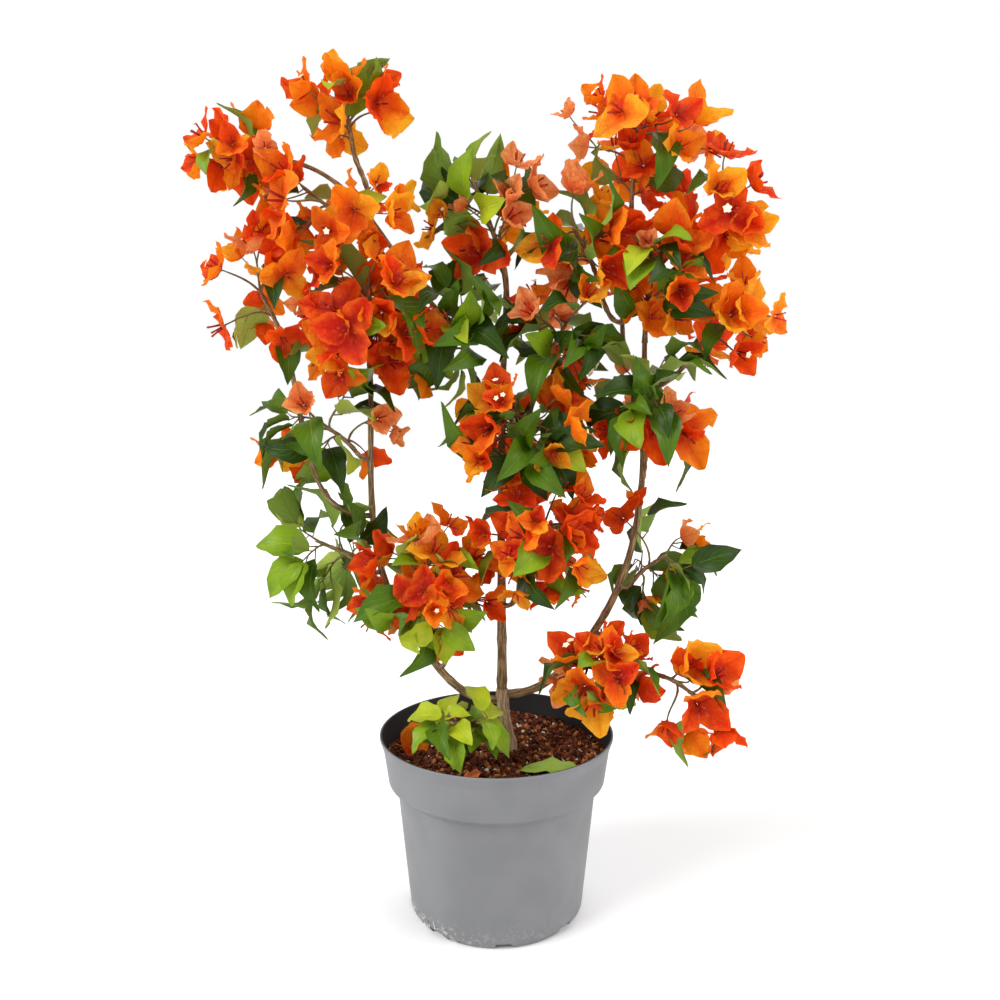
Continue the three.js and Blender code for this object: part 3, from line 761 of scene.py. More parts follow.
# ---------------------------------------------------------------- blades and flowers
@dataclass(frozen=True)
class BladeShape:
    """The form of a leaf or bract. Shares are of its length.

    Half the width at a share u is width / 2 x (u / p)^a x ((1 - u) / (1 - p))^b, with p = a / (a + b),
    which is widest at p. The blade arches by 4u(1 - u), folds along its midrib, curls across by the
    square of the distance from it, turns its tip away and ruffles towards its rim in waves. Dents, the
    product of two waves that cross, crumple it. The numbers of a version's stream vary all of it.
    """

    length: float
    width: float
    root_power: float  # a: small for a broad root
    tip_power: float  # b: above 1 for a drawn-out tip
    arch: float
    fold: float
    tip_turn: float
    ruffle: float
    ruffles: float
    curl: float
    crumple: float
    stalk: float = 0.0
    thickness: float = 0.0
    rows: int = 11
    columns: int = 7
    versions: int = 12

    FIRST_ROW, LAST_ROW = 0.12, math.pi - 0.08  # the rows' angles: u is half of 1 less their cosine
    ARCH_SPREAD = 0.5  # how much the versions differ in arch
    TURN_SPREAD = 0.6  # in the turn of their tips
    CURL_LEAST, CURL_SPREAD = 0.4, 1.2  # and in curl
    TIP_FROM, TIP_POWER = 0.45, 1.3  # where the tip starts to turn away, and how late
    WAVE_POWER = 1.6  # how closely the ruffles keep to the rim
    WAVE_SHIFT = 1.3  # how far the ruffles of the two halves are out of step
    SCALLOP = 0.06  # how far the outline goes in and out with the ruffles
    DRIFT = 0.1  # how far the tip leans to the side

    def sheet(self, version: int) -> Array:
        """The upper surface of one version, shaped (rows, columns, 3).

        Args:
            version: its number, which sets how far it leans, turns and curls.

        Returns:
            Points shaped (rows, columns, 3).
        """
        u = (0.5 - 0.5 * np.cos(np.linspace(self.FIRST_ROW, self.LAST_ROW, self.rows)))[:, None]
        s = np.linspace(-1, 1, self.columns)[None, :]
        widest = self.root_power / (self.root_power + self.tip_power)
        half = self.width / 2 * (u / widest) ** self.root_power * ((1 - u) / (1 - widest)) ** self.tip_power
        change = NumberStream((version + 3) * 9176 + 31)
        change.draw()
        phase, lean, more, curled = (change.within(-1, 1) for _ in range(4))
        waves = np.sin(FULL_TURN * (self.ruffles * u + phase) + self.WAVE_SHIFT * np.sign(s))
        waves = waves * np.abs(s) ** self.WAVE_POWER
        spread = half * 2 / self.width
        rise = self.arch * (1 + self.ARCH_SPREAD * more) * 4 * u * (1 - u) + self.fold * np.abs(s) * spread
        late = smooth_step(u, self.TIP_FROM, 1.0) ** self.TIP_POWER
        turn = self.tip_turn * (1 + self.TURN_SPREAD * lean) * late
        across_curl = self.curl * (self.CURL_LEAST + self.CURL_SPREAD * curled) * s**2 * spread
        belly = np.sqrt(u * (1 - u))
        dents = np.sin(9 * u + 4 * phase + 2.2 * s) * np.sin(5.3 * s + 7 * lean + 4 * u)
        scallop = 1 + self.SCALLOP * np.sin(FULL_TURN * self.ruffles * u + phase)
        x = s * half * scallop + self.DRIFT * self.length * lean * u**2
        y = self.length * u + self.stalk + 0 * s
        z = self.length * (rise - turn + across_curl)
        z = z + (2 * self.ruffle * waves + self.crumple * dents) * belly
        return np.stack([x, y, z], axis=-1)

    def stamp(self) -> Stamp:
        """A stamp of all versions: one sheet, or with a thickness a closed blade of two sheets.

        Returns:
            The stamp, with the lower sheet's UV pairs on the right half of the square.
        """
        sheets = np.stack([self.sheet(version) for version in range(self.versions)])
        count = self.rows * self.columns
        faces = grid_faces(self.rows, self.columns, closed=False)
        i, k = np.divmod(np.arange(count), self.columns)
        uv = np.stack([k / (self.columns - 1), i / (self.rows - 1)], axis=-1)
        points = sheets.reshape(self.versions, count, 3)
        if self.thickness == 0:
            return Stamp(points, [faces], uv[faces.ravel()])
        rim = (i == 0) | (i == self.rows - 1) | (k == 0) | (k == self.columns - 1)
        inner = np.flatnonzero(~rim)
        below = np.arange(count)
        below[inner] = count + np.arange(len(inner))
        lower = points[:, inner] - [0, 0, self.thickness]
        half_square = np.array([0.5, 1.0])
        under = faces[:, [0, 3, 2, 1]]  # turned over about the diagonal on which a quad is split
        pairs = np.concatenate([uv[faces.ravel()], uv[under.ravel()] + [1.0, 0]]) * half_square
        closed_rim = np.concatenate([rim, np.zeros(len(inner), dtype=bool)])
        return Stamp(np.concatenate([points, lower], axis=1), [faces, below[under]], pairs, closed_rim)


def stalk_stamp(profile: list[tuple[float, float]], bend: float, sides: int) -> Stamp:
    """A slender closed tube that grows along +Y and bends towards +Z.

    Args:
        profile: pairs of distance along it and radius.
        bend: how far its end stands off the straight line.
        sides: points on a ring.

    Returns:
        A stamp with one version.
    """
    along, radii = np.array(profile).T
    line = np.stack([0 * along, along, bend * (along / along[-1]) ** 2], axis=-1)
    points = tube_grid(line[None], radii[None], sides).reshape(1, -1, 3)
    face_sets = tube_faces(1, len(profile), sides)
    around = np.arange(points.shape[1]) % sides / sides
    uv = np.stack([around, np.repeat(along / along[-1], sides)], axis=-1)
    return Stamp(points, face_sets, np.concatenate([uv[faces.ravel()] for faces in face_sets]))


def star_stamp(radius: float, lobes: int) -> Stamp:
    """A small open flower: a cup of rings, radius x share x (1 + 0.2 share x cos(lobes x angle)).

    Args:
        radius: from the middle to a lobe's tip.
        lobes: how many petals it seems to have.

    Returns:
        A stamp with one version, which opens along +Y.
    """
    sides = 4 * lobes
    angle = np.linspace(0, FULL_TURN, sides, endpoint=False)
    share, height = (np.array(column)[:, None] for column in ((0.16, 0.5, 1.0), (-0.6, 0.1, 0.5)))
    lobed = radius * share * (1 + 0.2 * share * np.cos(lobes * angle))
    rings = np.stack([lobed * np.cos(angle), height + 0 * angle, -lobed * np.sin(angle)], axis=-1)
    points = rings.reshape(1, -1, 3)
    faces = grid_faces(len(rings), sides, closed=True)
    centre = np.arange(sides)[::-1][None]
    uv = np.repeat(np.linspace(0, 1, len(rings)), sides)[:, None] * [1, 1]
    corner_uv = np.concatenate([uv[faces.ravel()], uv[centre.ravel()]])
    return Stamp(points, [faces[:, ::-1], centre[:, ::-1]], corner_uv)


BRACT = BladeShape(
    length=27.5, width=26, root_power=0.46, tip_power=0.88, arch=-0.3, fold=0.24, tip_turn=0.27,
    ruffle=2.2, ruffles=2.3, curl=-0.13, crumple=2.0,
)
LEAF = BladeShape(
    length=48, width=25.5, root_power=0.6, tip_power=1.15, arch=0.1, fold=0.1, tip_turn=0.16,
    ruffle=1.9, ruffles=2.7, curl=0.05, crumple=2.0, stalk=9, thickness=0.45, rows=10, columns=5,
)
YOUNG_LEAF = BladeShape(
    length=41, width=27.5, root_power=0.64, tip_power=1.0, arch=0.07, fold=0.09, tip_turn=0.1,
    ruffle=1.6, ruffles=2.2, curl=0.04, crumple=1.7, stalk=8, thickness=0.45, rows=10, columns=5,
)
FLAT_LEAF = BladeShape(
    length=48, width=27, root_power=0.6, tip_power=1.0, arch=0.03, fold=0.05, tip_turn=0.02,
    ruffle=1.2, ruffles=2.7, curl=0.0, crumple=1.5, stalk=9, thickness=0.45, rows=10, columns=5,
)


# ---------------------------------------------------------------- the plan of the plant
@dataclass(frozen=True)
class BoughPlan:
    """A bough leaves its parent at a share of its length and ends at a point with a heading."""

    name: str
    parent: str
    share: float
    leave: tuple[float, float, float] | None
    to: tuple[float, float, float]
    arrive: tuple[float, float, float]
    radii: tuple[float, float]


class Bloom(Enum):
    """Which bract colours a mass has, as shares of amber, orange, flame and salmon."""

    VIVID = (0.12, 0.44, 0.38, 0.06)
    DEEP = (0.03, 0.33, 0.62, 0.02)
    FADED = (0.14, 0.36, 0.26, 0.24)


class Foliage(Enum):
    """Which greens a mass has, as shares of dark, mid, fresh and young."""

    DEEP = (0.46, 0.38, 0.13, 0.03)
    MIXED = (0.25, 0.5, 0.2, 0.05)
    LIGHT = (0.05, 0.35, 0.42, 0.18)
    SPRING = (0.0, 0.05, 0.4, 0.55)


@dataclass(frozen=True)
class MassPlan:
    """A mass of foliage in an ellipsoid, on a branch from a share of a bough's length, or at its tip."""

    name: str
    bough: str
    share: float
    centre: tuple[float, float, float]
    reach: tuple[float, float, float]
    blossoms: int
    leaves: int
    bloom: Bloom
    foliage: Foliage
    low_leaves: bool = False  # whether its leafy twigs all turn down

    @property
    def middle(self) -> Array:
        """The ellipsoid's centre."""
        return np.array(self.centre, dtype=float)

    @property
    def radii(self) -> Array:
        """The ellipsoid's three radii."""
        return np.array(self.reach, dtype=float)


BOUGHS = tuple(BoughPlan(*row) for row in (
    ("middle_bough", "trunk", 1, None, (7, 12, 440), (0.05, -0.05, 1), (4.2, 2.3)),
    ("left_arm", "trunk", 0.82, (-1, 0, 0), (-60, 2, 200), (-0.6, 0, 0.8), (3.5, 3.1)),
    ("left_bough", "left_arm", 1, None, (-90, 8, 380), (0, -0.12, 1), (3.1, 2.2)),
    ("right_arm", "trunk", 0.9, (1, 0, 0), (76, 4, 210), (0.5, 0, 0.85), (3.5, 3.1)),
    ("right_bough", "right_arm", 1, None, (106, 12, 412), (0, -0.1, 1), (3.1, 2.1)),
    ("plume_bough", "middle_bough", 0.9, (-1, -0.2, 0.4), (-138, 6, 533), (-1, -0.1, 0.25), (2, 1.7)),
    ("dome_bough", "right_bough", 0.92, (-0.6, 1, 0.2), (95, 12, 505), (0, -0.2, 1), (1.9, 1.7)),
))

B, F = Bloom, Foliage
MASSES = tuple(MassPlan(*row) for row in (
    ("plume_tip", "plume_bough", 0.72, (-102, -5, 566), (41, 38, 38), 11, 5, B.VIVID, F.LIGHT),
    ("plume_left", "plume_bough", 1, (-176, -8, 538), (38, 38, 36), 12, 6, B.VIVID, F.LIGHT),
    ("plume_heart", "plume_bough", 0.5, (-112, -14, 498), (60, 48, 38), 18, 4, B.VIVID, F.MIXED),
    ("left_cascade", "left_bough", 1, (-88, -14, 430), (52, 56, 58), 40, 8, B.DEEP, F.MIXED),
    ("left_flank", "left_bough", 0.5, (-160, -6, 438), (44, 50, 58), 12, 5, B.VIVID, F.LIGHT),
    ("top_centre", "middle_bough", 1, (-12, 0, 506), (52, 50, 48), 14, 20, B.FADED, F.DEEP),
    ("dome_crest", "dome_bough", 1, (95, 0, 543), (60, 54, 44), 24, 3, B.VIVID, F.MIXED),
    ("dome_right", "dome_bough", 0.6, (152, 0, 497), (40, 52, 52), 13, 1, B.VIVID, F.MIXED),
    ("dome_left", "dome_bough", 0.35, (56, -8, 480), (46, 50, 46), 12, 10, B.FADED, F.MIXED),
    ("dome_heart", "right_bough", 1, (107, -8, 454), (46, 56, 50), 15, 13, B.VIVID, F.MIXED),
    ("right_flank", "right_bough", 0.84, (164, -4, 426), (34, 46, 48), 12, 1, B.VIVID, F.MIXED),
    ("centre_leaves", "middle_bough", 0.72, (-33, 4, 424), (50, 56, 60), 4, 27, B.FADED, F.MIXED),
    ("centre_right_leaves", "middle_bough", 0.66, (45, 2, 416), (50, 54, 54), 8, 16, B.FADED, F.DEEP),
    ("middle_blossom", "middle_bough", 0.5, (20, -14, 346), (60, 60, 46), 24, 27, B.VIVID, F.DEEP),
    ("lower_blossom", "middle_bough", 0.22, (30, -20, 277), (50, 54, 58), 33, 11, B.DEEP, F.MIXED, True),
    ("lower_left_blossom", "left_arm", 0.62, (-49, -24, 238), (54, 52, 56), 26, 23, B.VIVID, F.LIGHT, True),
    ("left_leaves", "left_bough", 0.28, (-122, -4, 267), (52, 54, 58), 0, 27, B.VIVID, F.MIXED),
    ("left_upper_leaves", "left_bough", 0.72, (-122, -2, 352), (60, 52, 52), 6, 17, B.FADED, F.DEEP),
    ("right_leaves_upper", "right_bough", 0.52, (108, -6, 366), (50, 54, 60), 10, 19, B.FADED, F.DEEP),
    ("right_leaves_lower", "right_bough", 0.14, (118, 2, 256), (50, 50, 64), 5, 20, B.FADED, F.DEEP),
    ("low_spray_near", "right_arm", 0.6, (72, -40, 184), (42, 40, 35), 21, 7, B.VIVID, F.MIXED),
    ("low_spray_far", "right_arm", 0.9, (136, -42, 168), (36, 38, 46), 8, 3, B.VIVID, F.MIXED),
    ("pot_shoots", "trunk", 0.3, (-26, -46, 151), (48, 38, 34), 0, 24, B.FADED, F.SPRING),
))


@dataclass(frozen=True)
class PotSizes:
    """The pot's profile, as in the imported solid."""

    height: float = 130
    foot_radius: float = 61.5
    base_radius: float = 63.5
    base_height: float = 2.5
    waist_radius: float = 72.5
    waist_height: float = 91.5
    collar_radius: float = 79
    collar_height: float = 97
    bead_height: float = 9
    low_bead: float = 1.2
    high_bead: float = 3.4
    rim_radius: float = 85
    wall: float = 1.6
    floor: float = 2.4
    soil_top: float = 117
    soil_edge: float = 114.5


POT = PotSizes()
CLEARANCE = 0.3
ROOTING = 1.6  # how far a limb's bark starts inside its parent, past the clearance


class Room:
    """The air that foliage grows in, and what already stands in it."""

    OUTSIDE = np.array([1.17, 1.05, 1.17])  # the ellipsoids' reach as shares of their radii
    POT_GAP = 2.0
    PROBE_MM = 4  # spacing of the points taken along a limb

    def __init__(self, limbs: list[Limb]) -> None:
        """Takes points along every limb.

        Args:
            limbs: all the limbs.
        """
        shares = [np.linspace(0, 1, max(3, int(limb.length / self.PROBE_MM))) for limb in limbs]
        self.wood = np.concatenate([limb.at(s) for limb, s in zip(limbs, shares)])
        self.wood_radii = np.concatenate([limb.radius(s) for limb, s in zip(limbs, shares)])
        self.blossoms: list[Array] = []
        self.leaves: list[Array] = []

    def inside(self, plan: MassPlan, points: Array) -> bool:
        """Whether all points lie in the mass's ellipsoid, and clear of the pot and the soil.

        Args:
            plan: the mass.
            points: points of a twig, leaf or blossom.

        Returns:
            True where they all do.
        """
        off_centre = np.linalg.norm((points - plan.middle) / (plan.radii * self.OUTSIDE), axis=-1)
        radius = np.hypot(points[..., 0], points[..., 1])
        above = (radius > POT.rim_radius + self.POT_GAP) | (points[..., 2] > POT.height + self.POT_GAP)
        over_soil = points[..., 2] > POT.soil_top + self.POT_GAP
        within = (radius < POT.collar_radius - self.POT_GAP) & over_soil
        return bool(np.all(off_centre < 1) and np.all(above | within))

    def clear_of_wood(self, points: Array, gap: float) -> bool:
        """Whether all points keep a gap from every limb's bark."""
        distances = np.linalg.norm(points[:, None] - self.wood[None], axis=-1) - self.wood_radii
        return bool(np.all(distances > gap))

    def far_from(self, taken: list[Array], points: Array, gap: float) -> bool:
        """Whether all points keep a gap from every point of a list of points taken.

        Args:
            taken: the points that are taken.
            points: the points to be tested.
            gap: the least distance.

        Returns:
            True where they all do.
        """
        if not taken:
            return True
        return bool(np.min(np.linalg.norm(points[:, None] - np.array(taken)[None], axis=-1)) > gap)


@dataclass
class Crown:
    """The limbs and all that grows on them, by the same rule as the solids, with finer twigs."""

    trunk_foot: tuple[float, float, float] = (8, -5, 117.3)
    trunk_tip: tuple[float, float, float] = (4, 2, 160)
    trunk_radii: tuple[float, float] = (5.6, 4.9)
    branch_radii: tuple[float, float] = (1.9, 1.7)
    branch_stops_short: float = 26
    branch_shortest: float = 12
    stem_tip_radius: float = 1.3
    stem_beyond_centre: float = 0.3
    tries: int = 600
    even_steps: tuple[float, float] = (0.7548776662466927, 0.5698402909980532)  # they fill a square evenly
    depth_step: float = 0.6180339887
    drawn_in: float = 0.62  # how far inside the reach the innermost twigs end
    twig_radii: tuple[float, float] = (0.95, 0.5)
    twig_turns: tuple[tuple[float, float], ...] = ((-0.5, 0.5), (-0.15, 0.5), (-0.4, 0.5))
    finer_radii: tuple[float, float] = (0.6, 0.4)
    finer_lengths: tuple[float, float] = (16, 34)
    twig_gap: float = 1.2  # from a twig to the bark of other limbs
    finer_gap: float = 1.0
    bract_gap: float = 2.0
    leaf_wood_gap: float = 1.0
    blossom_gap: float = 18
    leaf_gap: float = 7
    leaf_blossom_gap: float = 13
    leaf_turns: int = 8  # how often a leaf without room is turned and made smaller
    leaf_shares: tuple[float, ...] = (0.35, 0.52, 0.68, 0.84, 0.98)
    leaf_sizes: tuple[float, float] = (0.62, 1.12)
    shoot_size: float = 0.66  # leaves of spring shoots, as a share of full leaves
    young_size: float = 0.86  # and other young leaves
    leaf_droops: tuple[float, float] = (0.06, 0.32)  # of spring shoots and of the rest
    turn_step: float = 0.9
    shrink_step: float = 0.04
    blossom_sizes: tuple[float, float] = (0.62, 1.0)
    salmon_size: float = 0.92
    side_sprays: int = 2
    side_shares: tuple[float, float] = (0.5, 0.85)  # where finer twigs leave a flowering twig
    side_sizes: tuple[float, float] = (0.7, 1.05)
    same_tint: float = 0.7  # blossoms on finer twigs that keep the spray's tint
    bud_sizes: tuple[float, float] = (0.34, 0.5)
    bud_share: float = 0.3
    largest_bud: float = 0.52
    bud_opening: float = 0.2  # the angle from the twig's line to a bract of a bud
    opening: float = 0.24  # and the least one to a bract of a blossom
    more_opening: float = 0.85  # how much more it may open
    more_salmon_opening: float = 0.32
    opening_power: float = 1.7  # above 1 makes wide blossoms rarer
    bract_scales: tuple[float, float] = (0.86, 1.08)
    bract_offset: float = 0.6  # from the twig's middle line
    tube_offset: float = 1.2
    tube_leans: tuple[float, float] = (0.06, 0.26)
    tube_length: float = 14.4
    open_share: float = 0.16  # blossoms with open flowers
    star_share: float = 0.42  # flowers of such a blossom that are open
    slimness: float = 0.86  # bark's radius as a share of the limb's, which leaves room for its relief
    relief: float = 0.045
    relief_turns: tuple[int, ...] = (2, 3, 5, 8, 11)  # how often each wave of the relief goes round a limb
    node_gap: float = 31
    node_swelling: float = 0.13
    twig_swelling: float = 0.12

    def __post_init__(self) -> None:
        """Lays out the limbs and makes an empty bed for each kind and colour of organ."""
        foot, tip = np.array(self.trunk_foot), np.array(self.trunk_tip)
        self.trunk = Limb(foot, UP, tip, UP, self.trunk_radii)
        self.boughs: dict[str, Limb] = {}
        self.branches: dict[str, Limb] = {}
        self.stems: dict[str, Limb] = {}
        for plan in BOUGHS:
            self.boughs[plan.name] = self._bough(plan)
        for plan in MASSES:
            if plan.share < 1:
                self.branches[plan.name] = self._branch(plan)
            self.stems[plan.name] = self._stem(plan)
        self.room = Room([self.trunk, *self.boughs.values(), *self.branches.values()])
        self.green: list[Limb] = []
        bract, leaf, young = BRACT.stamp(), LEAF.stamp(), YOUNG_LEAF.stamp()
        self.bracts = {tint: Bed(bract) for tint in Tint}
        old = (Green.DARK, Green.MID)
        self.leaves = {green: Bed(leaf if green in old else young) for green in Green}
        self.leaf_stalks = Bed(stalk_stamp([(0, 0.75), (5, 0.6), (11, 0.5)], bend=0.0, sides=5))
        tube = [(0, 0.6), (2.5, 1.1), (6, 0.95), (10, 0.8), (13, 1.0), (14, 0.6)]
        self.tubes = Bed(stalk_stamp(tube, bend=1.2, sides=5))
        self.stars = Bed(star_stamp(radius=2.9, lobes=5))

    def _limb(self, name: str) -> Limb:
        """The trunk or a bough by its name."""
        return self.trunk if name == "trunk" else self.boughs[name]

    def _start(self, parent: Limb, share: float, towards: Array | None) -> tuple[Array, Array]:
        """Where a limb starts on its parent, off the bark or the tip, and which way it sets out.

        Args:
            parent: the limb it grows from.
            share: how far along the parent it starts.
            towards: a direction that it sets out in, or None at the parent's tip.

        Returns:
            The start, and the unit direction that it sets out in.
        """
        tangent = parent.heading(share)
        side = tangent if share >= 1 else across(np.asarray(towards, dtype=float), tangent)
        offset = CLEARANCE + (0 if share >= 1 else parent.radius(share))
        return parent.at(share) + offset * side, side

    def _bough(self, plan: BoughPlan) -> Limb:
        """A bough from its plan."""
        start, side = self._start(self._limb(plan.parent), plan.share, plan.leave)
        return Limb(start, side, np.array(plan.to, dtype=float), np.array(plan.arrive), plan.radii)

    def _branch(self, plan: MassPlan) -> Limb:
        """The branch that runs from a bough towards the middle of a mass and stops short of it.

        Args:
            plan: the mass.

        Returns:
            The branch.
        """
        parent = self._limb(plan.bough)
        start, side = self._start(parent, plan.share, plan.middle - parent.at(plan.share))
        way = plan.middle - start
        length = max(self.branch_shortest, np.linalg.norm(way) - self.branch_stops_short)
        end = start + length * unit(way)
        return Limb(start, side, end, unit(way) + 0.3 * UP, self.branch_radii)

    def _stem(self, plan: MassPlan) -> Limb:
        """The stem that goes on from the limb's tip through the middle of the mass.

        Args:
            plan: the mass.

        Returns:
            The stem.
        """
        limb = self.branches.get(plan.name) or self._limb(plan.bough)
        heading = limb.heading(1.0)
        foot = limb.at(1.0) + CLEARANCE * heading
        way = plan.middle - foot
        end = plan.middle + self.stem_beyond_centre * way
        return Limb(foot, heading, end, way, (limb.radii[1], self.stem_tip_radius))

    def _twig(
        self, plan: MassPlan, k: int, spin: float, inset: float, low: bool, stream: NumberStream
    ) -> Limb | None:
        """A twig from the stem towards try number k of the points spread evenly round the mass.

        Args:
            plan: the mass.
            k: the number of the try. A share of it by the golden ratio says how deep inside it ends.
            spin: a share of a turn that sets the mass apart from the others.
            inset: how far inside the reach the twig ends.
            low: whether it ends below the middle of the mass.
            stream: the mass's numbers.

        Returns:
            The twig, or None where it would leave the space or meet a limb.
        """
        stem = self.stems[plan.name]
        pole, turn = ((k * step + spin) % 1 for step in self.even_steps)
        height = 2 * pole - 1
        ring = math.sqrt(1 - height**2)
        full = np.array([ring * math.cos(FULL_TURN * turn), height, ring * math.sin(FULL_TURN * turn)])
        if low:
            full[2] = -abs(full[2])
        full = full * plan.radii
        edge = max(0.25, 1 - inset / float(np.linalg.norm(full)))
        depth = (k * self.depth_step) % 1
        end = plan.middle + edge * (1 - self.drawn_in * depth**2) * full
        foot = stem.at(0.0)
        way = stem.at(1.0) - foot
        level = float((end - foot) @ way / (way @ way))
        share = min(max(level - 0.25, 0.12), 0.92)
        start = stem.at(share)
        direct = unit(end - start)
        leave = 0.7 * stem.heading(share) + 0.7 * direct + 0.2 * UP
        sideways, forward, lift = (stream.within(*limits) for limits in self.twig_turns)
        arrive = 0.5 * direct + 0.45 * unit(full) + sideways * RIGHT + forward * FRONT + lift * UP
        twig = Limb(start, leave, end, arrive, self.twig_radii)
        probes = twig.at(np.linspace(0.15, 1, 9))
        if not self.room.inside(plan, probes) or not self.room.clear_of_wood(probes, self.twig_gap):
            return None
        return twig

    def _blossom(self, plan: MassPlan, twig: Limb, size: float, tint: Tint, stream: NumberStream) -> bool:
        """Three bracts and three slender flowers at a twig's tip, where there is room for them.

        Args:
            plan: the mass.
            twig: the twig.
            size: the blossom's size, 1 for the largest.
            tint: its colour.
            stream: the mass's numbers.

        Returns:
            Whether it was grown.
        """
        tip, axis = twig.at(1.0), twig.heading(1.0)
        more = self.more_salmon_opening if tint is Tint.SALMON else self.more_opening
        bud = size <= self.largest_bud
        opening = self.bud_opening if bud else self.opening + more * stream.draw() ** self.opening_power
        middle = tip + 0.45 * BRACT.length * size * axis
        if not self.room.far_from(self.room.blossoms, middle[None], self.blossom_gap * size):
            return False
        first = across(UP if abs(axis[2]) < 0.9 else RIGHT, axis)
        roll = stream.within(0, FULL_TURN)
        spokes = [spoke_at(axis, first, roll + FULL_TURN * i / 3) for i in range(3)]
        alongs = [math.cos(opening) * axis + math.sin(opening) * spoke for spoke in spokes]
        ends = np.array([tip + BRACT.length * size * along for along in alongs])
        apart = self.room.clear_of_wood(np.vstack([ends, middle]), self.bract_gap)
        if not self.room.inside(plan, ends) or not apart:
            return False
        self.room.blossoms.append(middle)
        opened = stream.draw() < self.open_share
        for spoke, along in zip(spokes, alongs):
            own = neighbour_tint(tint, stream.draw())
            scale = size * stream.within(*self.bract_scales)
            self.bracts[own].add(tip + self.bract_offset * spoke, along, across(axis, along), scale)
            lean = stream.within(*self.tube_leans)
            flower = unit(math.cos(lean) * axis + math.sin(lean) * spoke)
            foot = tip + self.tube_offset * spoke
            self.tubes.add(foot, flower, across(spoke, flower), size)
            if opened and stream.draw() < self.star_share:
                self.stars.add(foot + self.tube_length * size * flower, flower, across(spoke, flower), size)
        return True

    def _leaf(
        self, plan: MassPlan, twig: Limb, share: float, turn: float, size: float, green: Green
    ) -> bool:
        """A leaf on its stalk from the side of a twig, turned until there is room for it.

        Args:
            plan: the mass.
            twig: the twig.
            share: how far along the twig the leaf sits.
            turn: its first angle round the twig.
            size: its size, 1 for a full leaf.
            green: its colour.

        Returns:
            Whether it was grown.
        """
        root, tangent = twig.at(share), twig.heading(share)
        outward = unit(root - plan.middle)
        level = plan.foliage is Foliage.SPRING
        facing = unit(0.9 * UP + 0.5 * FRONT + 0.45 * outward)
        upper = facing if level else 0.7 * UP + 0.9 * outward + 0.35 * FRONT
        droop = self.leaf_droops[0] if level else self.leaf_droops[1]
        for attempt in range(self.leaf_turns):
            scale = size * (1 - self.shrink_step * attempt)
            axis = facing if level else tangent
            first = across(RIGHT, facing) if level else across(upper, tangent)
            spoke = spoke_at(axis, first, turn + self.turn_step * attempt)
            pointed = spoke if level else 0.9 * spoke + 0.35 * tangent + 0.3 * outward
            along = unit(unit(pointed) - droop * UP)
            reach = LEAF.stalk + LEAF.length * np.array([0.3, 0.65, 1.0])
            points = root + scale * reach[:, None] * along
            free = (
                self.room.far_from(self.room.leaves, points, self.leaf_gap)
                and self.room.far_from(self.room.blossoms, points, self.leaf_blossom_gap)
                and self.room.inside(plan, points)
                and self.room.clear_of_wood(points, self.leaf_wood_gap)
            )
            if not free:
                continue
            self.room.leaves.extend(points)
            normal = across(upper, along)
            self.leaves[green].add(root, along, normal, scale)
            self.leaf_stalks.add(root, along, normal, scale)
            return True
        return False

    def _pick(self, shares: tuple[float, ...], kinds: type[Enum], stream: NumberStream) -> Enum:
        """One of the kinds, each as often as its share says."""
        place = int(np.searchsorted(np.cumsum(shares), stream.draw()))
        return list(kinds)[min(place, len(kinds) - 1)]

    def _leaves_along(
        self, plan: MassPlan, twig: Limb, shares: tuple[float, ...], stream: NumberStream
    ) -> int:
        """Leaves at shares of a twig, each turned by the golden angle, in the greens of its mass.

        Args:
            plan: the mass.
            twig: the twig.
            shares: where they sit along the twig.
            stream: the mass's numbers.

        Returns:
            How many were grown.
        """
        spring = plan.foliage is Foliage.SPRING
        first = stream.within(0, FULL_TURN)
        grown = 0
        for i, share in enumerate(shares):
            green = self._pick(plan.foliage.value, Green, stream)
            smaller = self.shoot_size if spring else self.young_size if green is Green.YOUNG else 1.0
            size = stream.within(*self.leaf_sizes) * smaller
            grown += self._leaf(plan, twig, share, first + i * GOLDEN_ANGLE, size, green)
        return grown

    def _flowering_spray(self, plan: MassPlan, twig: Limb, stream: NumberStream) -> int:
        """Blossoms at a twig's tip and on finer twigs from its side, all of about one colour.

        Args:
            plan: the mass.
            twig: the twig.
            stream: the mass's numbers.

        Returns:
            How many were grown.
        """
        tint = self._pick(plan.bloom.value, Tint, stream)
        size = stream.within(*self.blossom_sizes) * (self.salmon_size if tint is Tint.SALMON else 1.0)
        if not self._blossom(plan, twig, size, tint, stream):
            return 0
        self.green.append(twig)
        grown = 1
        for _ in range(self.side_sprays):
            share = stream.within(*self.side_shares)
            root, tangent = twig.at(share), twig.heading(share)
            spoke = spoke_at(tangent, across(UP + 0.3 * RIGHT, tangent), stream.within(0, FULL_TURN))
            way = unit(0.8 * spoke + 0.5 * tangent + 0.4 * unit(root - plan.middle))
            end = root + stream.within(*self.finer_lengths) * way
            finer = Limb(root, tangent + spoke, end, way + 0.4 * FRONT, self.finer_radii)
            if not self.room.clear_of_wood(finer.at(np.linspace(0.3, 1, 4)), self.finer_gap):
                continue
            own = tint if stream.draw() < self.same_tint else self._pick(plan.bloom.value, Tint, stream)
            if self._blossom(plan, finer, size * stream.within(*self.side_sizes), own, stream):
                self.green.append(finer)
                grown += 1
        return grown

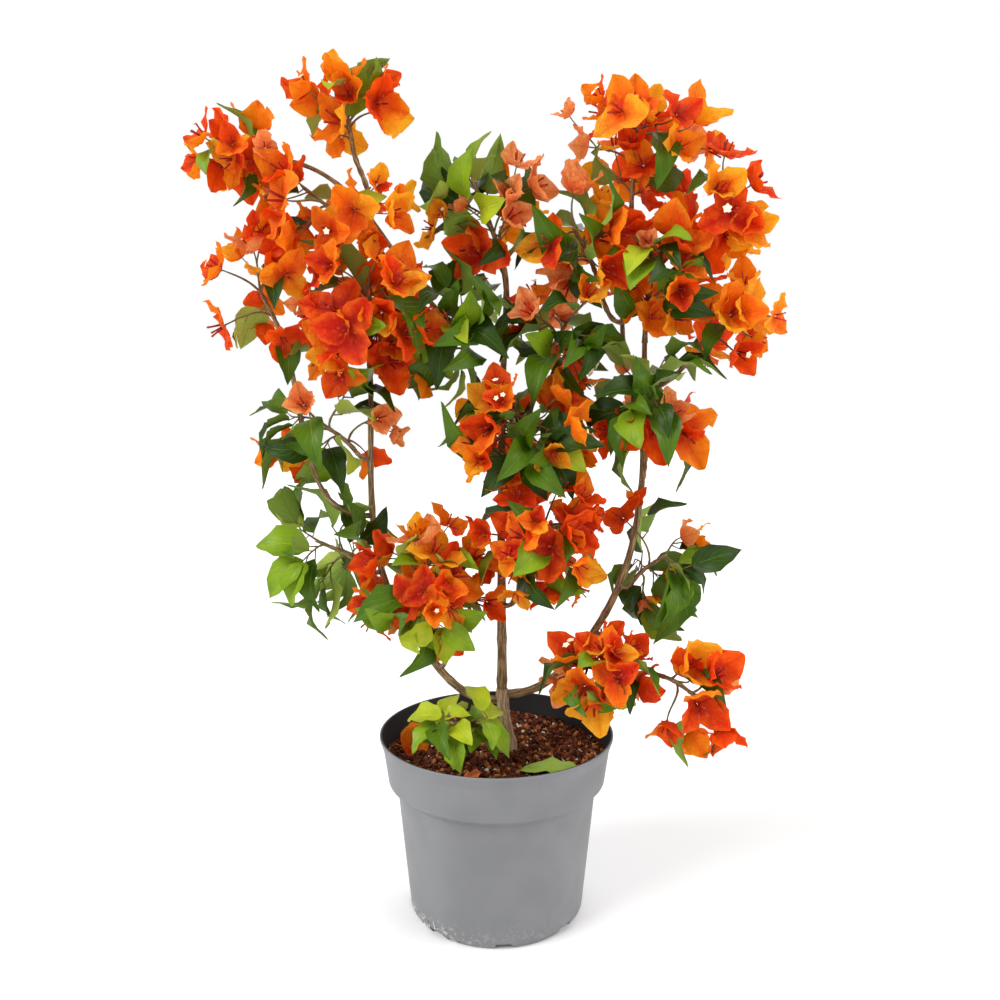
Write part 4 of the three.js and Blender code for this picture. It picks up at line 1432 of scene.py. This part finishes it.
    def grow(self) -> None:
        """Grows every mass until it has its blossoms and leaves, or its tries run out."""
        for index, plan in enumerate(MASSES):
            stream = NumberStream(SEED + SEED_STEP * index)
            spin = stream.draw()
            blossoms = leaves = 0
            for k in range(self.tries):
                lacking_blossoms = 1 - blossoms / plan.blossoms if plan.blossoms else 0
                lacking_leaves = 1 - leaves / plan.leaves
                if lacking_blossoms <= 0 and lacking_leaves <= 0:
                    break
                flowering = lacking_blossoms > 0 and lacking_blossoms >= lacking_leaves
                inset = 0.5 * (BRACT.length if flowering else LEAF.length)
                twig = self._twig(plan, k, spin, inset, plan.low_leaves and not flowering, stream)
                if twig is None:
                    continue
                if flowering:
                    grown = self._flowering_spray(plan, twig, stream)
                    blossoms += grown
                    if grown and leaves < plan.leaves:
                        leaves += self._leaves_along(plan, twig, (0.5,), stream)
                else:
                    grown = self._leaves_along(plan, twig, self.leaf_shares, stream)
                    leaves += grown
                    if grown:
                        self.green.append(twig)
                        if stream.draw() < self.bud_share and plan.blossoms:
                            size = stream.within(*self.bud_sizes)
                            self._blossom(plan, twig, size, Tint.SALMON, stream)
            log.info("%s: %d blossoms and %d leaves", plan.name, blossoms, leaves)

    def bark_mesh(
        self, name: str, limb: Limb, sides: int, ring_mm: float, depth: float = ROOTING, flare: float = 0.0
    ) -> bpy.types.Mesh:
        """A limb with the bark's relief.

        The radius is multiplied by 1 plus a sum of low waves round the limb and along it, and plus a
        swelling at each node, at even spacings. A flare widens the foot in three lobes.

        Args:
            name: the mesh's name.
            limb: the limb.
            sides: points on a ring.
            ring_mm: spacing of the rings.
            depth: how far inside its parent the bark starts.
            flare: how much the foot widens, in millimetres.

        Returns:
            The closed mesh, with a UV map along its grain.
        """
        rings = max(6, int(limb.length / ring_mm))
        shares = np.linspace(0, 1, rings)
        along = shares[:, None] * limb.length
        angle = np.linspace(0, FULL_TURN, sides, endpoint=False)[None, :]
        waves = NumberStream(len(name) * 131 + 7)
        relief = np.zeros((rings, sides))
        for turns in self.relief_turns:
            wave = turns * angle + along / waves.within(4, 17) + waves.within(0, 6)
            relief += self.relief / math.sqrt(turns) * np.sin(wave)
        off_node = (along + 9) % self.node_gap - 15
        swelling = self.node_swelling * np.exp(-(off_node**2) / 9)
        widened = 1 - smooth_step(shares, 0, 0.4)[:, None]
        lobes = 1 + 0.25 * np.cos(3 * angle + 0.7)
        radii = self.slimness * limb.radius(shares)[:, None] * (1 + relief + swelling)
        radii = radii + flare * widened**2 * lobes
        points = tube_grid(limb.rooted(shares, depth)[None], radii[None], sides)[0].reshape(-1, 3)
        face_sets = tube_faces(1, rings, sides)
        around = np.tile(np.arange(sides) / sides, rings) * FULL_TURN * limb.radii[0]
        grain = np.stack([around, np.repeat(along[:, 0], sides)], axis=-1) * MM
        uv = np.concatenate([grain[faces.ravel()] for faces in face_sets])
        return write_mesh(name, points, face_sets, uv, GRAIN_MAP)

    def twig_mesh(
        self, name: str, twigs: Collection[Limb], rings: int, sides: int, depth: float = 0.0
    ) -> bpy.types.Mesh:
        """All twigs of one finish as closed tapering tubes, with small swellings where leaves sit.

        Args:
            name: the mesh's name.
            twigs: the twigs.
            rings: rings of a tube.
            sides: points on a ring.
            depth: how far inside its parent a twig starts.

        Returns:
            The closed mesh, with a UV map along its grain.
        """
        shares = np.linspace(0, 1, rings)
        centres = np.stack([twig.rooted(shares, depth) for twig in twigs])
        swelling = 1 + self.twig_swelling * np.cos(shares * 31)
        radii = np.stack([twig.radius(shares) for twig in twigs]) * swelling
        points = tube_grid(centres, radii, sides).reshape(-1, 3)
        face_sets = tube_faces(len(twigs), rings, sides)
        lengths = np.array([twig.length for twig in twigs])
        along = (lengths[:, None] * shares).repeat(sides) * MM
        around = np.tile(np.arange(sides) * MM, len(along) // sides)
        grain = np.stack([around, along], axis=-1)
        uv = np.concatenate([grain[faces.ravel()] for faces in face_sets])
        return write_mesh(name, points, face_sets, uv, GRAIN_MAP)

    def build(self) -> None:
        """Makes every piece of the plant."""
        self.grow()
        trunk = self.bark_mesh("trunk_bark", self.trunk, sides=40, ring_mm=0.9, depth=4.0, flare=1.9)
        put(trunk, TRUNK_BARK, "bark", ["trunk"])
        for name, bough in self.boughs.items():
            put(self.bark_mesh(f"{name}_bark", bough, sides=20, ring_mm=1.8), BOUGH_BARK, "bark", [name])
        branches = self.twig_mesh("side_branches", self.branches.values(), rings=24, sides=10, depth=ROOTING)
        put(branches, BOUGH_BARK, "bark", [f"{name}_branch" for name in self.branches])
        masses = [plan.name for plan in MASSES]
        stems = self.twig_mesh("woody_stems", self.stems.values(), rings=14, sides=8, depth=ROOTING)
        put(stems, BOUGH_BARK, "leafy_shoots", masses)
        twigs = self.twig_mesh("green_twigs", self.green, rings=10, sides=6)
        put(twigs, TWIG_GREEN, "leafy_shoots", masses)
        put(self.leaf_stalks.mesh("leaf_stalks"), TWIG_GREEN, "leafy_shoots", masses)
        for green, bed in self.leaves.items():
            put(bed.mesh(f"leaves_{green.name.lower()}"), green.value, "leafy_shoots", masses)
        for tint, bed in self.bracts.items():
            put(bed.mesh(f"bracts_{tint.name.lower()}"), tint.value, "flowering_shoots", masses)
        put(self.tubes.mesh("flower_tubes"), FLOWER_TUBE, "flowering_shoots", masses)
        put(self.stars.mesh("flower_stars"), STAR_PETAL, "flowering_shoots", masses)


# ---------------------------------------------------------------- pot and soil
@dataclass(frozen=True)
class NurseryPlastic:
    """Recycled polypropylene sheet, thermoformed: grey outside, black inside.

    The eye sees an even satin wall with very faint clouds, and near its foot a crust of lime and peat.
    """

    name: str
    grey: str
    cloud: str
    black: str
    lime: str
    peat: str
    rim_share: float  # where the outer face ends along the pot's UV map
    roughness: float = 0.5
    crust_roughness: float = 0.35  # how much rougher the crust is than the wall
    refraction: float = 1.49
    cloud_mm: float = 30.0
    wave_mm: float = 24.0  # the crust's upper edge rises and falls by waves of this size
    crust_mm: float = 2.6
    patch_mm: float = 3.4  # patches of lime and of peat
    crust_top_mm: float = 17.0
    crust_full_mm: float = -9.0  # the height at which it would cover the wall in full
    crust_side_mm: tuple[float, float] = (-50.0, 5.0)  # it thins out to the right between these
    pebble_mm: float = 1.6
    pebble_depth_mm: float = 0.15

    def material(self) -> bpy.types.Material:
        """Builds the material from height, clouds and the share travelled along the profile.

        Returns:
            The material.
        """
        material, tree, shader = new_material(self.name)
        profile = add_node(tree, "UVMap", uv_map=BLADE_MAP)
        travelled = add_node(tree, "SeparateXYZ", [profile]).outputs[1]
        place = add_node(tree, "TexCoord").outputs["Object"]
        x, _, height = add_node(tree, "SeparateXYZ", [place]).outputs
        clouds = add_node(tree, "TexNoise", sized(place, self.cloud_mm, 3.0))
        cloudy = add_node(tree, "MapRange", [clouds, 0.35, 0.7], **SMOOTH)
        greys = {0: cloudy, 6: linear(self.grey), 7: linear(self.cloud)}
        wall = add_node(tree, "Mix", greys, **COLOURS)

        waves = add_node(tree, "TexNoise", sized(place, self.wave_mm, 2.0))
        wavy = add_node(tree, "Math", [waves, -self.wave_mm * MM, height], operation="MULTIPLY_ADD")
        full, top = self.crust_full_mm * MM, (self.crust_top_mm - self.wave_mm / 2) * MM
        low = add_node(tree, "MapRange", [wavy, full, top, 1.0, 0.0], **SMOOTH)
        thick, thin = (side * MM for side in self.crust_side_mm)
        left = add_node(tree, "MapRange", [x, thick, thin, 1.0, 0.1], **SMOOTH)
        where = add_node(tree, "Math", [low, left], operation="MULTIPLY")
        grains = add_node(tree, "TexNoise", sized(place, self.crust_mm, 4.0))
        grainy = add_node(tree, "MapRange", [grains, 0.5, 0.6], **SMOOTH)
        crust = add_node(tree, "Math", [where, grainy], operation="MULTIPLY")
        patches = add_node(tree, "TexNoise", sized(place, self.patch_mm, 2.0))
        patchy = add_node(tree, "MapRange", [patches, 0.5, 0.58], **SMOOTH)
        stains = {0: patchy, 6: linear(self.lime), 7: linear(self.peat)}
        dirt = add_node(tree, "Mix", stains, **COLOURS)
        outside = add_node(tree, "Mix", {0: crust, 6: wall, 7: dirt}, **COLOURS)

        within = add_node(tree, "Math", [travelled, self.rim_share], operation="GREATER_THAN")
        colour = add_node(tree, "Mix", {0: within, 6: outside, 7: linear(self.black)}, **COLOURS)
        roughening = [crust, self.crust_roughness, self.roughness]
        rough = add_node(tree, "Math", roughening, operation="MULTIPLY_ADD")
        pebbles = add_node(tree, "TexNoise", sized(place, self.pebble_mm, 2.0))
        pebbled = {"Strength": 0.15, "Distance": self.pebble_depth_mm * MM, "Height": pebbles}
        relief = add_node(tree, "Bump", pebbled)
        plug(tree, shader, {"Base Color": colour, "Roughness": rough, "Normal": relief})
        plug(tree, shader, {"IOR": self.refraction})
        return material


@dataclass(frozen=True)
class Peat:
    """Peat, coir or perlite, milled: crumbly and dull, dark in the hollows of its crumb relief and light on
    its tops.
    """

    name: str
    dark: str
    light: str
    crumb_mm: float = 2.4
    crumb_depth_mm: float = 1.2
    roughness: float = 0.95
    specular: float = 0.15

    def material(self) -> bpy.types.Material:
        """Builds the material from crumbs of two colours, dark in the hollows of the crumb relief and light
        on its tops.

        Returns:
            The material.
        """
        material, tree, shader = new_material(self.name)
        place = add_node(tree, "TexCoord").outputs["Object"]
        crumbs = add_node(tree, "TexNoise", sized(place, self.crumb_mm, 6.0))
        # The colour follows the relief's own noise: dark where it is low, light where it is high.
        share = add_node(tree, "MapRange", [crumbs, 0.38, 0.64], **SMOOTH)
        browns = {0: share, 6: linear(self.dark), 7: linear(self.light)}
        colour = add_node(tree, "Mix", browns, **COLOURS)
        crumbled = {"Strength": 0.9, "Distance": self.crumb_depth_mm * MM, "Height": crumbs}
        relief = add_node(tree, "Bump", crumbled)
        plug(tree, shader, {"Base Color": colour, "Roughness": self.roughness, "Normal": relief})
        plug(tree, shader, {"Specular IOR Level": self.specular})
        return material


@dataclass
class Pot:
    """The thermoformed pot: a turned profile with rounded steps and notches in its lower edge."""

    sizes: PotSizes = POT
    sides: int = 256
    rounding: float = 0.6
    most_cut: float = 0.3  # how much of a short step its rounding may take
    guard_gap: float = 1.0
    arc_steps: int = 5
    pole_radius: float = 0.5  # the small flat that closes each end of the profile
    notch_count: int = 8
    notch_width: float = 12
    notch_height: float = 4
    notch_turn: float = math.radians(-85.5)
    notch_edge: float = 0.8  # half the width over which a notch's side rises
    wall_rows: tuple[float, ...] = (5.2, 9, 40)  # rows that keep the notches' shading off the wall
    foot_ledge: float = 2.2

    def on_wall(self, height: float) -> tuple[float, float]:
        """The point of the straight wall, from base to waist, at a height.

        Args:
            height: its height.

        Returns:
            Its radius and height.
        """
        s = self.sizes
        share = (height - s.base_height) / (s.waist_height - s.base_height)
        return between((s.base_radius, s.waist_radius), share), height

    def profile(self) -> tuple[Array, int]:
        """The profile from the underside's middle round the rim to the floor's middle.

        Each corner is rounded by the curve (1 - t)^2 before + 2t(1 - t) corner + t^2 after, between
        points at the rounding distance on its two sides. A guard point beyond each end of the curve
        keeps the straight wall's shading even.

        Returns:
            Points (radius, height), and the number of the last one on the outer face.
        """
        s = self.sizes
        outer = [
            (s.foot_radius - self.foot_ledge, 0), (s.foot_radius, 0), (s.base_radius, s.base_height),
            *(self.on_wall(height) for height in self.wall_rows),
            (s.waist_radius, s.waist_height), (s.collar_radius, s.collar_height),
            (s.collar_radius + s.low_bead, s.collar_height + s.bead_height),
            (s.collar_radius + s.high_bead, s.height - s.bead_height),
            (s.rim_radius, s.height - s.wall), (s.rim_radius, s.height),
        ]
        inner = [
            (s.rim_radius - s.wall, s.height), (s.collar_radius - s.wall, s.collar_height + s.wall / 2),
            (s.waist_radius - s.wall, s.waist_height + s.wall / 2), (s.base_radius - s.wall, s.floor),
        ]
        poles = (self.pole_radius, 0), (self.pole_radius, s.floor)
        corners = np.array([poles[0], *outer, *inner, poles[1]], dtype=float)
        before, here, after = corners[:-2], corners[1:-1], corners[2:]
        gap_before = np.linalg.norm(here - before, axis=1, keepdims=True)
        gap_after = np.linalg.norm(after - here, axis=1, keepdims=True)
        before, after = (before - here) / gap_before, (after - here) / gap_after
        shorter = np.minimum(gap_before, gap_after)
        cut = np.minimum(shorter * self.most_cut, self.rounding)
        guard = cut + np.minimum(shorter * self.most_cut / 2, self.guard_gap)
        t = np.linspace(0, 1, self.arc_steps)[None, :, None]
        entry, leaving = here + before * cut, here + after * cut
        arcs = (1 - t) ** 2 * entry[:, None] + 2 * t * (1 - t) * here[:, None] + t**2 * leaving[:, None]
        guards = [(here + before * guard)[:, None], (here + after * guard)[:, None]]
        rows = np.concatenate([guards[0], arcs, guards[1]], axis=1)
        points = np.concatenate([corners[:1], rows.reshape(-1, 2), corners[-1:]])
        return points, len(outer) * rows.shape[1] - 1

    def build(self) -> None:
        """Turns the profile, lifts the lower edge into notches, and makes the piece."""
        profile, rim = self.profile()
        angle = np.linspace(0, FULL_TURN, self.sides, endpoint=False)[None, :]
        radius, height = profile[:, :1] + 0 * angle, profile[:, 1:] + 0 * angle
        from_notch = (angle - self.notch_turn) % (FULL_TURN / self.notch_count)
        from_notch = np.minimum(from_notch, FULL_TURN / self.notch_count - from_notch)
        edge = self.notch_width / 2
        off_notch = from_notch * self.sizes.base_radius
        open_here = 1 - smooth_step(off_notch, edge - self.notch_edge, edge + self.notch_edge)
        on_outer_edge = smooth_step(radius, self.sizes.foot_radius - 2.1, self.sizes.foot_radius - 1.0)
        on_outer_edge = on_outer_edge * (np.arange(len(profile))[:, None] <= rim)
        roof = self.notch_height * open_here * on_outer_edge
        lifted = np.maximum(height, roof)
        points = np.stack([radius * np.cos(angle), radius * np.sin(angle), lifted], axis=-1)
        faces = grid_faces(len(profile), self.sides, closed=True)
        ends = end_faces(len(profile), self.sides)
        travelled = np.concatenate([[0], np.cumsum(np.linalg.norm(np.diff(profile, axis=0), axis=1))])
        share = travelled / travelled[-1]
        around = np.tile(np.arange(self.sides) / self.sides, len(profile))
        uv = np.stack([around, np.repeat(share, self.sides)], axis=-1)
        wrap = uv[faces]
        wrap[:, 1:3, 0] = np.where(wrap[:, 1:3, 0] < wrap[:, :1, 0], 1.0, wrap[:, 1:3, 0])
        corner_uv = np.concatenate([wrap.reshape(-1, 2), *(uv[cap.ravel()] for cap in ends)])
        mesh = write_mesh("pot_shell", points.reshape(-1, 3), [faces, *ends], corner_uv, BLADE_MAP)
        colours = ("#737476", "#797a7d", "#1c1b1f", "#cfccc6", "#4a3830")
        plastic = NurseryPlastic("thermoformed_polypropylene", *colours, rim_share=float(share[rim]))
        put(mesh, plastic, "pot_plastic", ["pot"])


@dataclass
class Soil:
    """The bed of peat with its crumbs and grains of perlite, and the few bits that fell on it."""

    rings: int = 60
    sides: int = 180
    wave_lengths: tuple[float, ...] = (41, 27, 17, 11, 7.3, 4.9, 3.3)
    wave_steepness: float = 0.0288  # height of a wave as a share of its length
    crown_radius: float = 26  # the soil's middle is level out to here
    settled: float = 1.0  # how far it lies below the solid's surface
    crumbs: int = 3000
    dark_share: float = 0.7
    perlite: int = 170
    sunk: float = 0.25  # how far a grain's middle lies above the surface, as a share of its radius
    jitter: float = 0.4  # how far a grain strays from its golden angle
    size_power: float = 3  # above 1 makes large grains rarer
    wall_room: float = 2.1  # from a grain's middle to the pot's wall, in its own radii
    edge_gap: float = 0.35
    bend_rise: float = 1.0
    lump_step: float = 2.3998  # the angle between a grain's lumps, point after point
    grain_shape: tuple[float, float] = (0.8, 1.6)  # a grain's least and greatest radius

    def edge_radius(self) -> float:
        """The radius of the pot's inner wall at the soil's edge, less a small gap.

        Returns:
            The radius.
        """
        s = POT
        slope = (s.rim_radius - s.collar_radius) / (s.height - s.collar_height)
        return s.collar_radius - s.wall + slope * (s.soil_edge - s.collar_height) - self.edge_gap

    def height_at(self, x: Array, y: Array) -> Array:
        """The soil's height: a low crown plus a sum of waves of falling size and turning direction.

        Args:
            x: places to the right.
            y: places to the back.

        Returns:
            A height for each place.
        """
        radius = np.hypot(x, y)
        fall = smooth_step(radius, self.crown_radius, self.edge_radius())
        crown = POT.soil_top + (POT.soil_edge - POT.soil_top) * fall
        waves = NumberStream(4021)
        relief = 0 * x
        for length in self.wave_lengths:
            turn, phase = waves.within(0, FULL_TURN), waves.within(0, FULL_TURN)
            across_wave = x * math.cos(turn) + y * math.sin(turn)
            relief += self.wave_steepness * length * np.sin(FULL_TURN * across_wave / length + phase)
        return crown - self.settled + relief

    def bed_mesh(self) -> bpy.types.Mesh:
        """A closed plug: the rough surface, a side that follows the pot's inner wall, and a flat bottom.

        Returns:
            The mesh.
        """
        outer = self.edge_radius()
        radii = np.linspace(0.4, outer, self.rings)[:, None]
        angle = np.linspace(0, FULL_TURN, self.sides, endpoint=False)[None, :]
        x, y = radii * np.cos(angle), radii * np.sin(angle)
        top = np.stack([x, y, self.height_at(x, y)], axis=-1)[::-1]
        gap = POT.wall + 1.5 * CLEARANCE
        side = np.array(
            [
                (POT.base_radius - gap, POT.floor + CLEARANCE),
                (POT.waist_radius - gap, POT.waist_height + self.bend_rise),
                (POT.collar_radius - gap, POT.collar_height + self.bend_rise),
            ]
        )[:, :, None]
        wall = [side[:, 0] * np.cos(angle), side[:, 0] * np.sin(angle), side[:, 1] + 0 * angle]
        grid = np.concatenate([np.stack(wall, axis=-1), top])
        face_sets = [grid_faces(len(grid), self.sides, closed=True), *end_faces(len(grid), self.sides)]
        return write_mesh("soil_bed", grid.reshape(-1, 3), face_sets, None, GRAIN_MAP)

    def grain_stamp(self, roughness: float) -> Stamp:
        """A crumb: a sphere of few faces whose points are moved in and out, in several versions.

        Args:
            roughness: how far its points are moved, as a share of its radius.

        Returns:
            The stamp, whose versions go from round to long.
        """
        rows, columns, versions = 4, 6, 9
        polar = np.linspace(0.35, math.pi - 0.35, rows)[:, None]
        angle = np.linspace(0, FULL_TURN, columns, endpoint=False)[None, :]
        x, y, z = np.sin(polar) * np.cos(angle), np.cos(polar) + 0 * angle, -np.sin(polar) * np.sin(angle)
        ball = np.stack([x, y, z], axis=-1)
        lumps = np.sin(self.lump_step * np.arange(versions * rows * columns)).reshape(versions, -1, 1)
        narrow, long = self.grain_shape
        stretch = np.full((versions, 1, 3), narrow)
        stretch[:, 0, 1] = np.linspace(narrow, long, versions)
        points = ball.reshape(1, -1, 3) * (1 + roughness * lumps) * stretch
        faces = grid_faces(rows, columns, closed=True)
        sets = [part[:, ::-1] for part in (faces, *end_faces(rows, columns))]
        return Stamp(points, sets, np.zeros((sum(f.size for f in sets), 2)))

    def scatter(
        self, count: int, sizes: tuple[float, float], seed: int
    ) -> Iterator[tuple[Array, float, NumberStream]]:
        """Places spread evenly over the bed by the golden angle, with a size for each.

        Args:
            count: how many there are.
            sizes: the least and the greatest radius.
            seed: the seed of its numbers.

        Yields:
            A place, a size and the stream of numbers.
        """
        stream = NumberStream(seed)
        outer = self.edge_radius()
        for i in range(count):
            share = math.sqrt((i + stream.draw()) / count)
            angle = i * GOLDEN_ANGLE + stream.within(-self.jitter, self.jitter)
            size = between(sizes, stream.draw() ** self.size_power)
            radius = min(outer * share, outer - self.wall_room * size)
            x, y = radius * math.cos(angle), radius * math.sin(angle)
            yield np.array([x, y, float(self.height_at(np.array(x), np.array(y)))]), size, stream

    def bed_of(self, stamp: Stamp, count: int, sizes: tuple[float, float], seed: int) -> Bed:
        """Grains sunk in the surface, each turned its own way.

        Args:
            stamp: the grain.
            count: how many there are.
            sizes: the least and the greatest radius.
            seed: the seed of its numbers.

        Returns:
            The bed of grains.
        """
        bed = Bed(stamp)
        for place, size, stream in self.scatter(count, sizes, seed):
            along = unit(np.array([stream.within(-1, 1), stream.within(-1, 1), stream.within(-0.6, 0.6)]))
            bed.add(place + self.sunk * size * UP, along, across(UP, along), size)
        return bed

    def build(self) -> None:
        """Makes the bed, its grains and the fallen bits."""
        put(self.bed_mesh(), Peat("damp_peat", "#2a0f08", "#743c20"), "potting_soil", ["soil"])
        dark = int(self.crumbs * self.dark_share)
        crumb, pearl = (0.5, 2.7), (0.6, 1.9)
        for name, finish, count, sizes, roughness, seed in (
            ("dark_crumbs", Peat("peat_dark_crumbs", "#34160b", "#6a361a"), dark, crumb, 0.3, 11),
            ("red_crumbs", Peat("peat_red_crumbs", "#7c4020", "#b87c4a"), self.crumbs - dark, crumb, 0.3, 29),
            ("perlite", Peat("perlite_grain", "#c9c0ae", "#efe8da", 1.0), self.perlite, pearl, 0.2, 53),
        ):
            bed = self.bed_of(self.grain_stamp(roughness), count, sizes, seed)
            put(bed.mesh(name), finish, "potting_soil", [])
        self.fallen()

    def fallen(self) -> None:
        """A green leaf that lies on the soil, a bract that stands on its edge, and one turned over."""
        leafy, flowering = "leafy_shoots", "flowering_shoots"
        for name, shape, root, along, upper, scale, finish, slot in (
            ("fallen_leaf", FLAT_LEAF, (66, -44, 3.4), (-1, -0.06, 0.05), UP, 0.9, Green.FRESH, leafy),
            ("fallen_bract", BRACT, (-67, -14, 7.0), (0.9, 0.2, 0.42), FRONT, 0.95, Tint.ORANGE, flowering),
            ("fallen_petal", BRACT, (-22, -62, 3.4), (0.95, 0.3, 0.05), -UP, 0.5, Tint.SALMON, flowering),
        ):
            x, y, above = root
            ground = float(self.height_at(np.array(float(x)), np.array(float(y))))
            way = unit(np.array(along))
            bed = Bed(shape.stamp())
            bed.add(np.array([x, y, ground + above]), way, across(upper, way), scale)
            put(bed.mesh(name), finish.value, slot, [])


# ---------------------------------------------------------------- the studio
@dataclass(frozen=True)
class Studio:
    """A pale floor, soft light and the camera."""

    camera_at: tuple[float, float, float] = (2.5, -594.2, 359.0)
    pitch_down: float = math.radians(5.77)
    lens: float = 30.1
    sensor: float = 36
    sky: float = 0.49  # the strength with which the white surroundings light the plant
    floor_colour: str = "#f4f4f4"
    floor_reach: float = 9000.0

    def floor(self) -> None:
        """A floor much larger than the view, at the pot's underside."""
        corners = self.floor_reach * np.array([[-1, -1, 0], [1, -1, 0], [1, 1, 0], [-1, 1, 0]])
        mesh = write_mesh("pale_floor", corners, [np.arange(4)[None]], None, GRAIN_MAP)
        material, tree, shader = new_material("painted_floor")
        plug(tree, shader, {"Base Color": linear(self.floor_colour), "Roughness": 0.8})
        mesh.materials.append(material)
        piece = bpy.data.objects.new("pale_floor", mesh)
        bpy.context.scene.collection.objects.link(piece)
        piece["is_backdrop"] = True

    def world(self) -> None:
        """A white surrounding that looks full white and lights the plant a little less."""
        world = bpy.data.worlds.new("white_surroundings")
        world.use_nodes = True
        tree = world.node_tree
        seen = add_node(tree, "LightPath").outputs["Is Camera Ray"]
        strength = add_node(tree, "Math", [seen, 1 - self.sky, self.sky], operation="MULTIPLY_ADD")
        plug(tree, tree.nodes["Background"], {"Color": linear("#ffffff"), "Strength": strength})
        bpy.context.scene.world = world

    def lamp(self, name: str, toward: tuple[float, float, float], softness: float, power: float) -> None:
        """A far, broad light that shines from a direction, with its apparent width in degrees.

        Args:
            name: its name.
            toward: the direction that it stands in.
            softness: its apparent width in degrees.
            power: its strength.
        """
        data = bpy.data.lights.new(name, "SUN")
        data.angle = math.radians(softness)
        data.energy = power
        lamp = bpy.data.objects.new(name, data)
        lamp.location = toward
        lamp.rotation_euler = (-Vector(toward)).to_track_quat("-Z", "Y").to_euler()
        bpy.context.scene.collection.objects.link(lamp)

    def camera(self) -> None:
        """The camera, level but for its pitch, with no shift and no depth of field."""
        data = bpy.data.cameras.new("camera")
        data.lens = self.lens
        data.sensor_width = self.sensor
        data.clip_start = 10 * MM
        camera = bpy.data.objects.new("camera", data)
        camera.location = [c * MM for c in self.camera_at]
        camera.rotation_euler = (math.pi / 2 - self.pitch_down, 0, 0)
        bpy.context.scene.collection.objects.link(camera)
        bpy.context.scene.camera = camera

    def build(self) -> None:
        """Sets up the whole studio."""
        self.floor()
        self.world()
        self.lamp("key_light", toward=(-1.5, -0.85, 1.3), softness=34, power=2.6)
        self.lamp("fill_light", toward=(1.6, -0.6, 1.0), softness=44, power=1.75)
        self.lamp("back_light", toward=(0.3, 1.0, 1.4), softness=50, power=1.1)
        self.camera()
        bpy.context.scene.view_settings.view_transform = "Standard"


def main() -> None:
    """Builds the studio, the pot with its soil and the plant, and works out how large they are."""
    logging.basicConfig(level=logging.INFO, format="%(message)s")
    Studio().build()
    Pot().build()
    Soil().build()
    Crown().build()
    boxes = {"cad": CAD_BOX, "visual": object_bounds()}
    plain = {name: [[float(x) for x in corner] for corner in box] for name, box in boxes.items()}


if __name__ == "__main__":
    main()
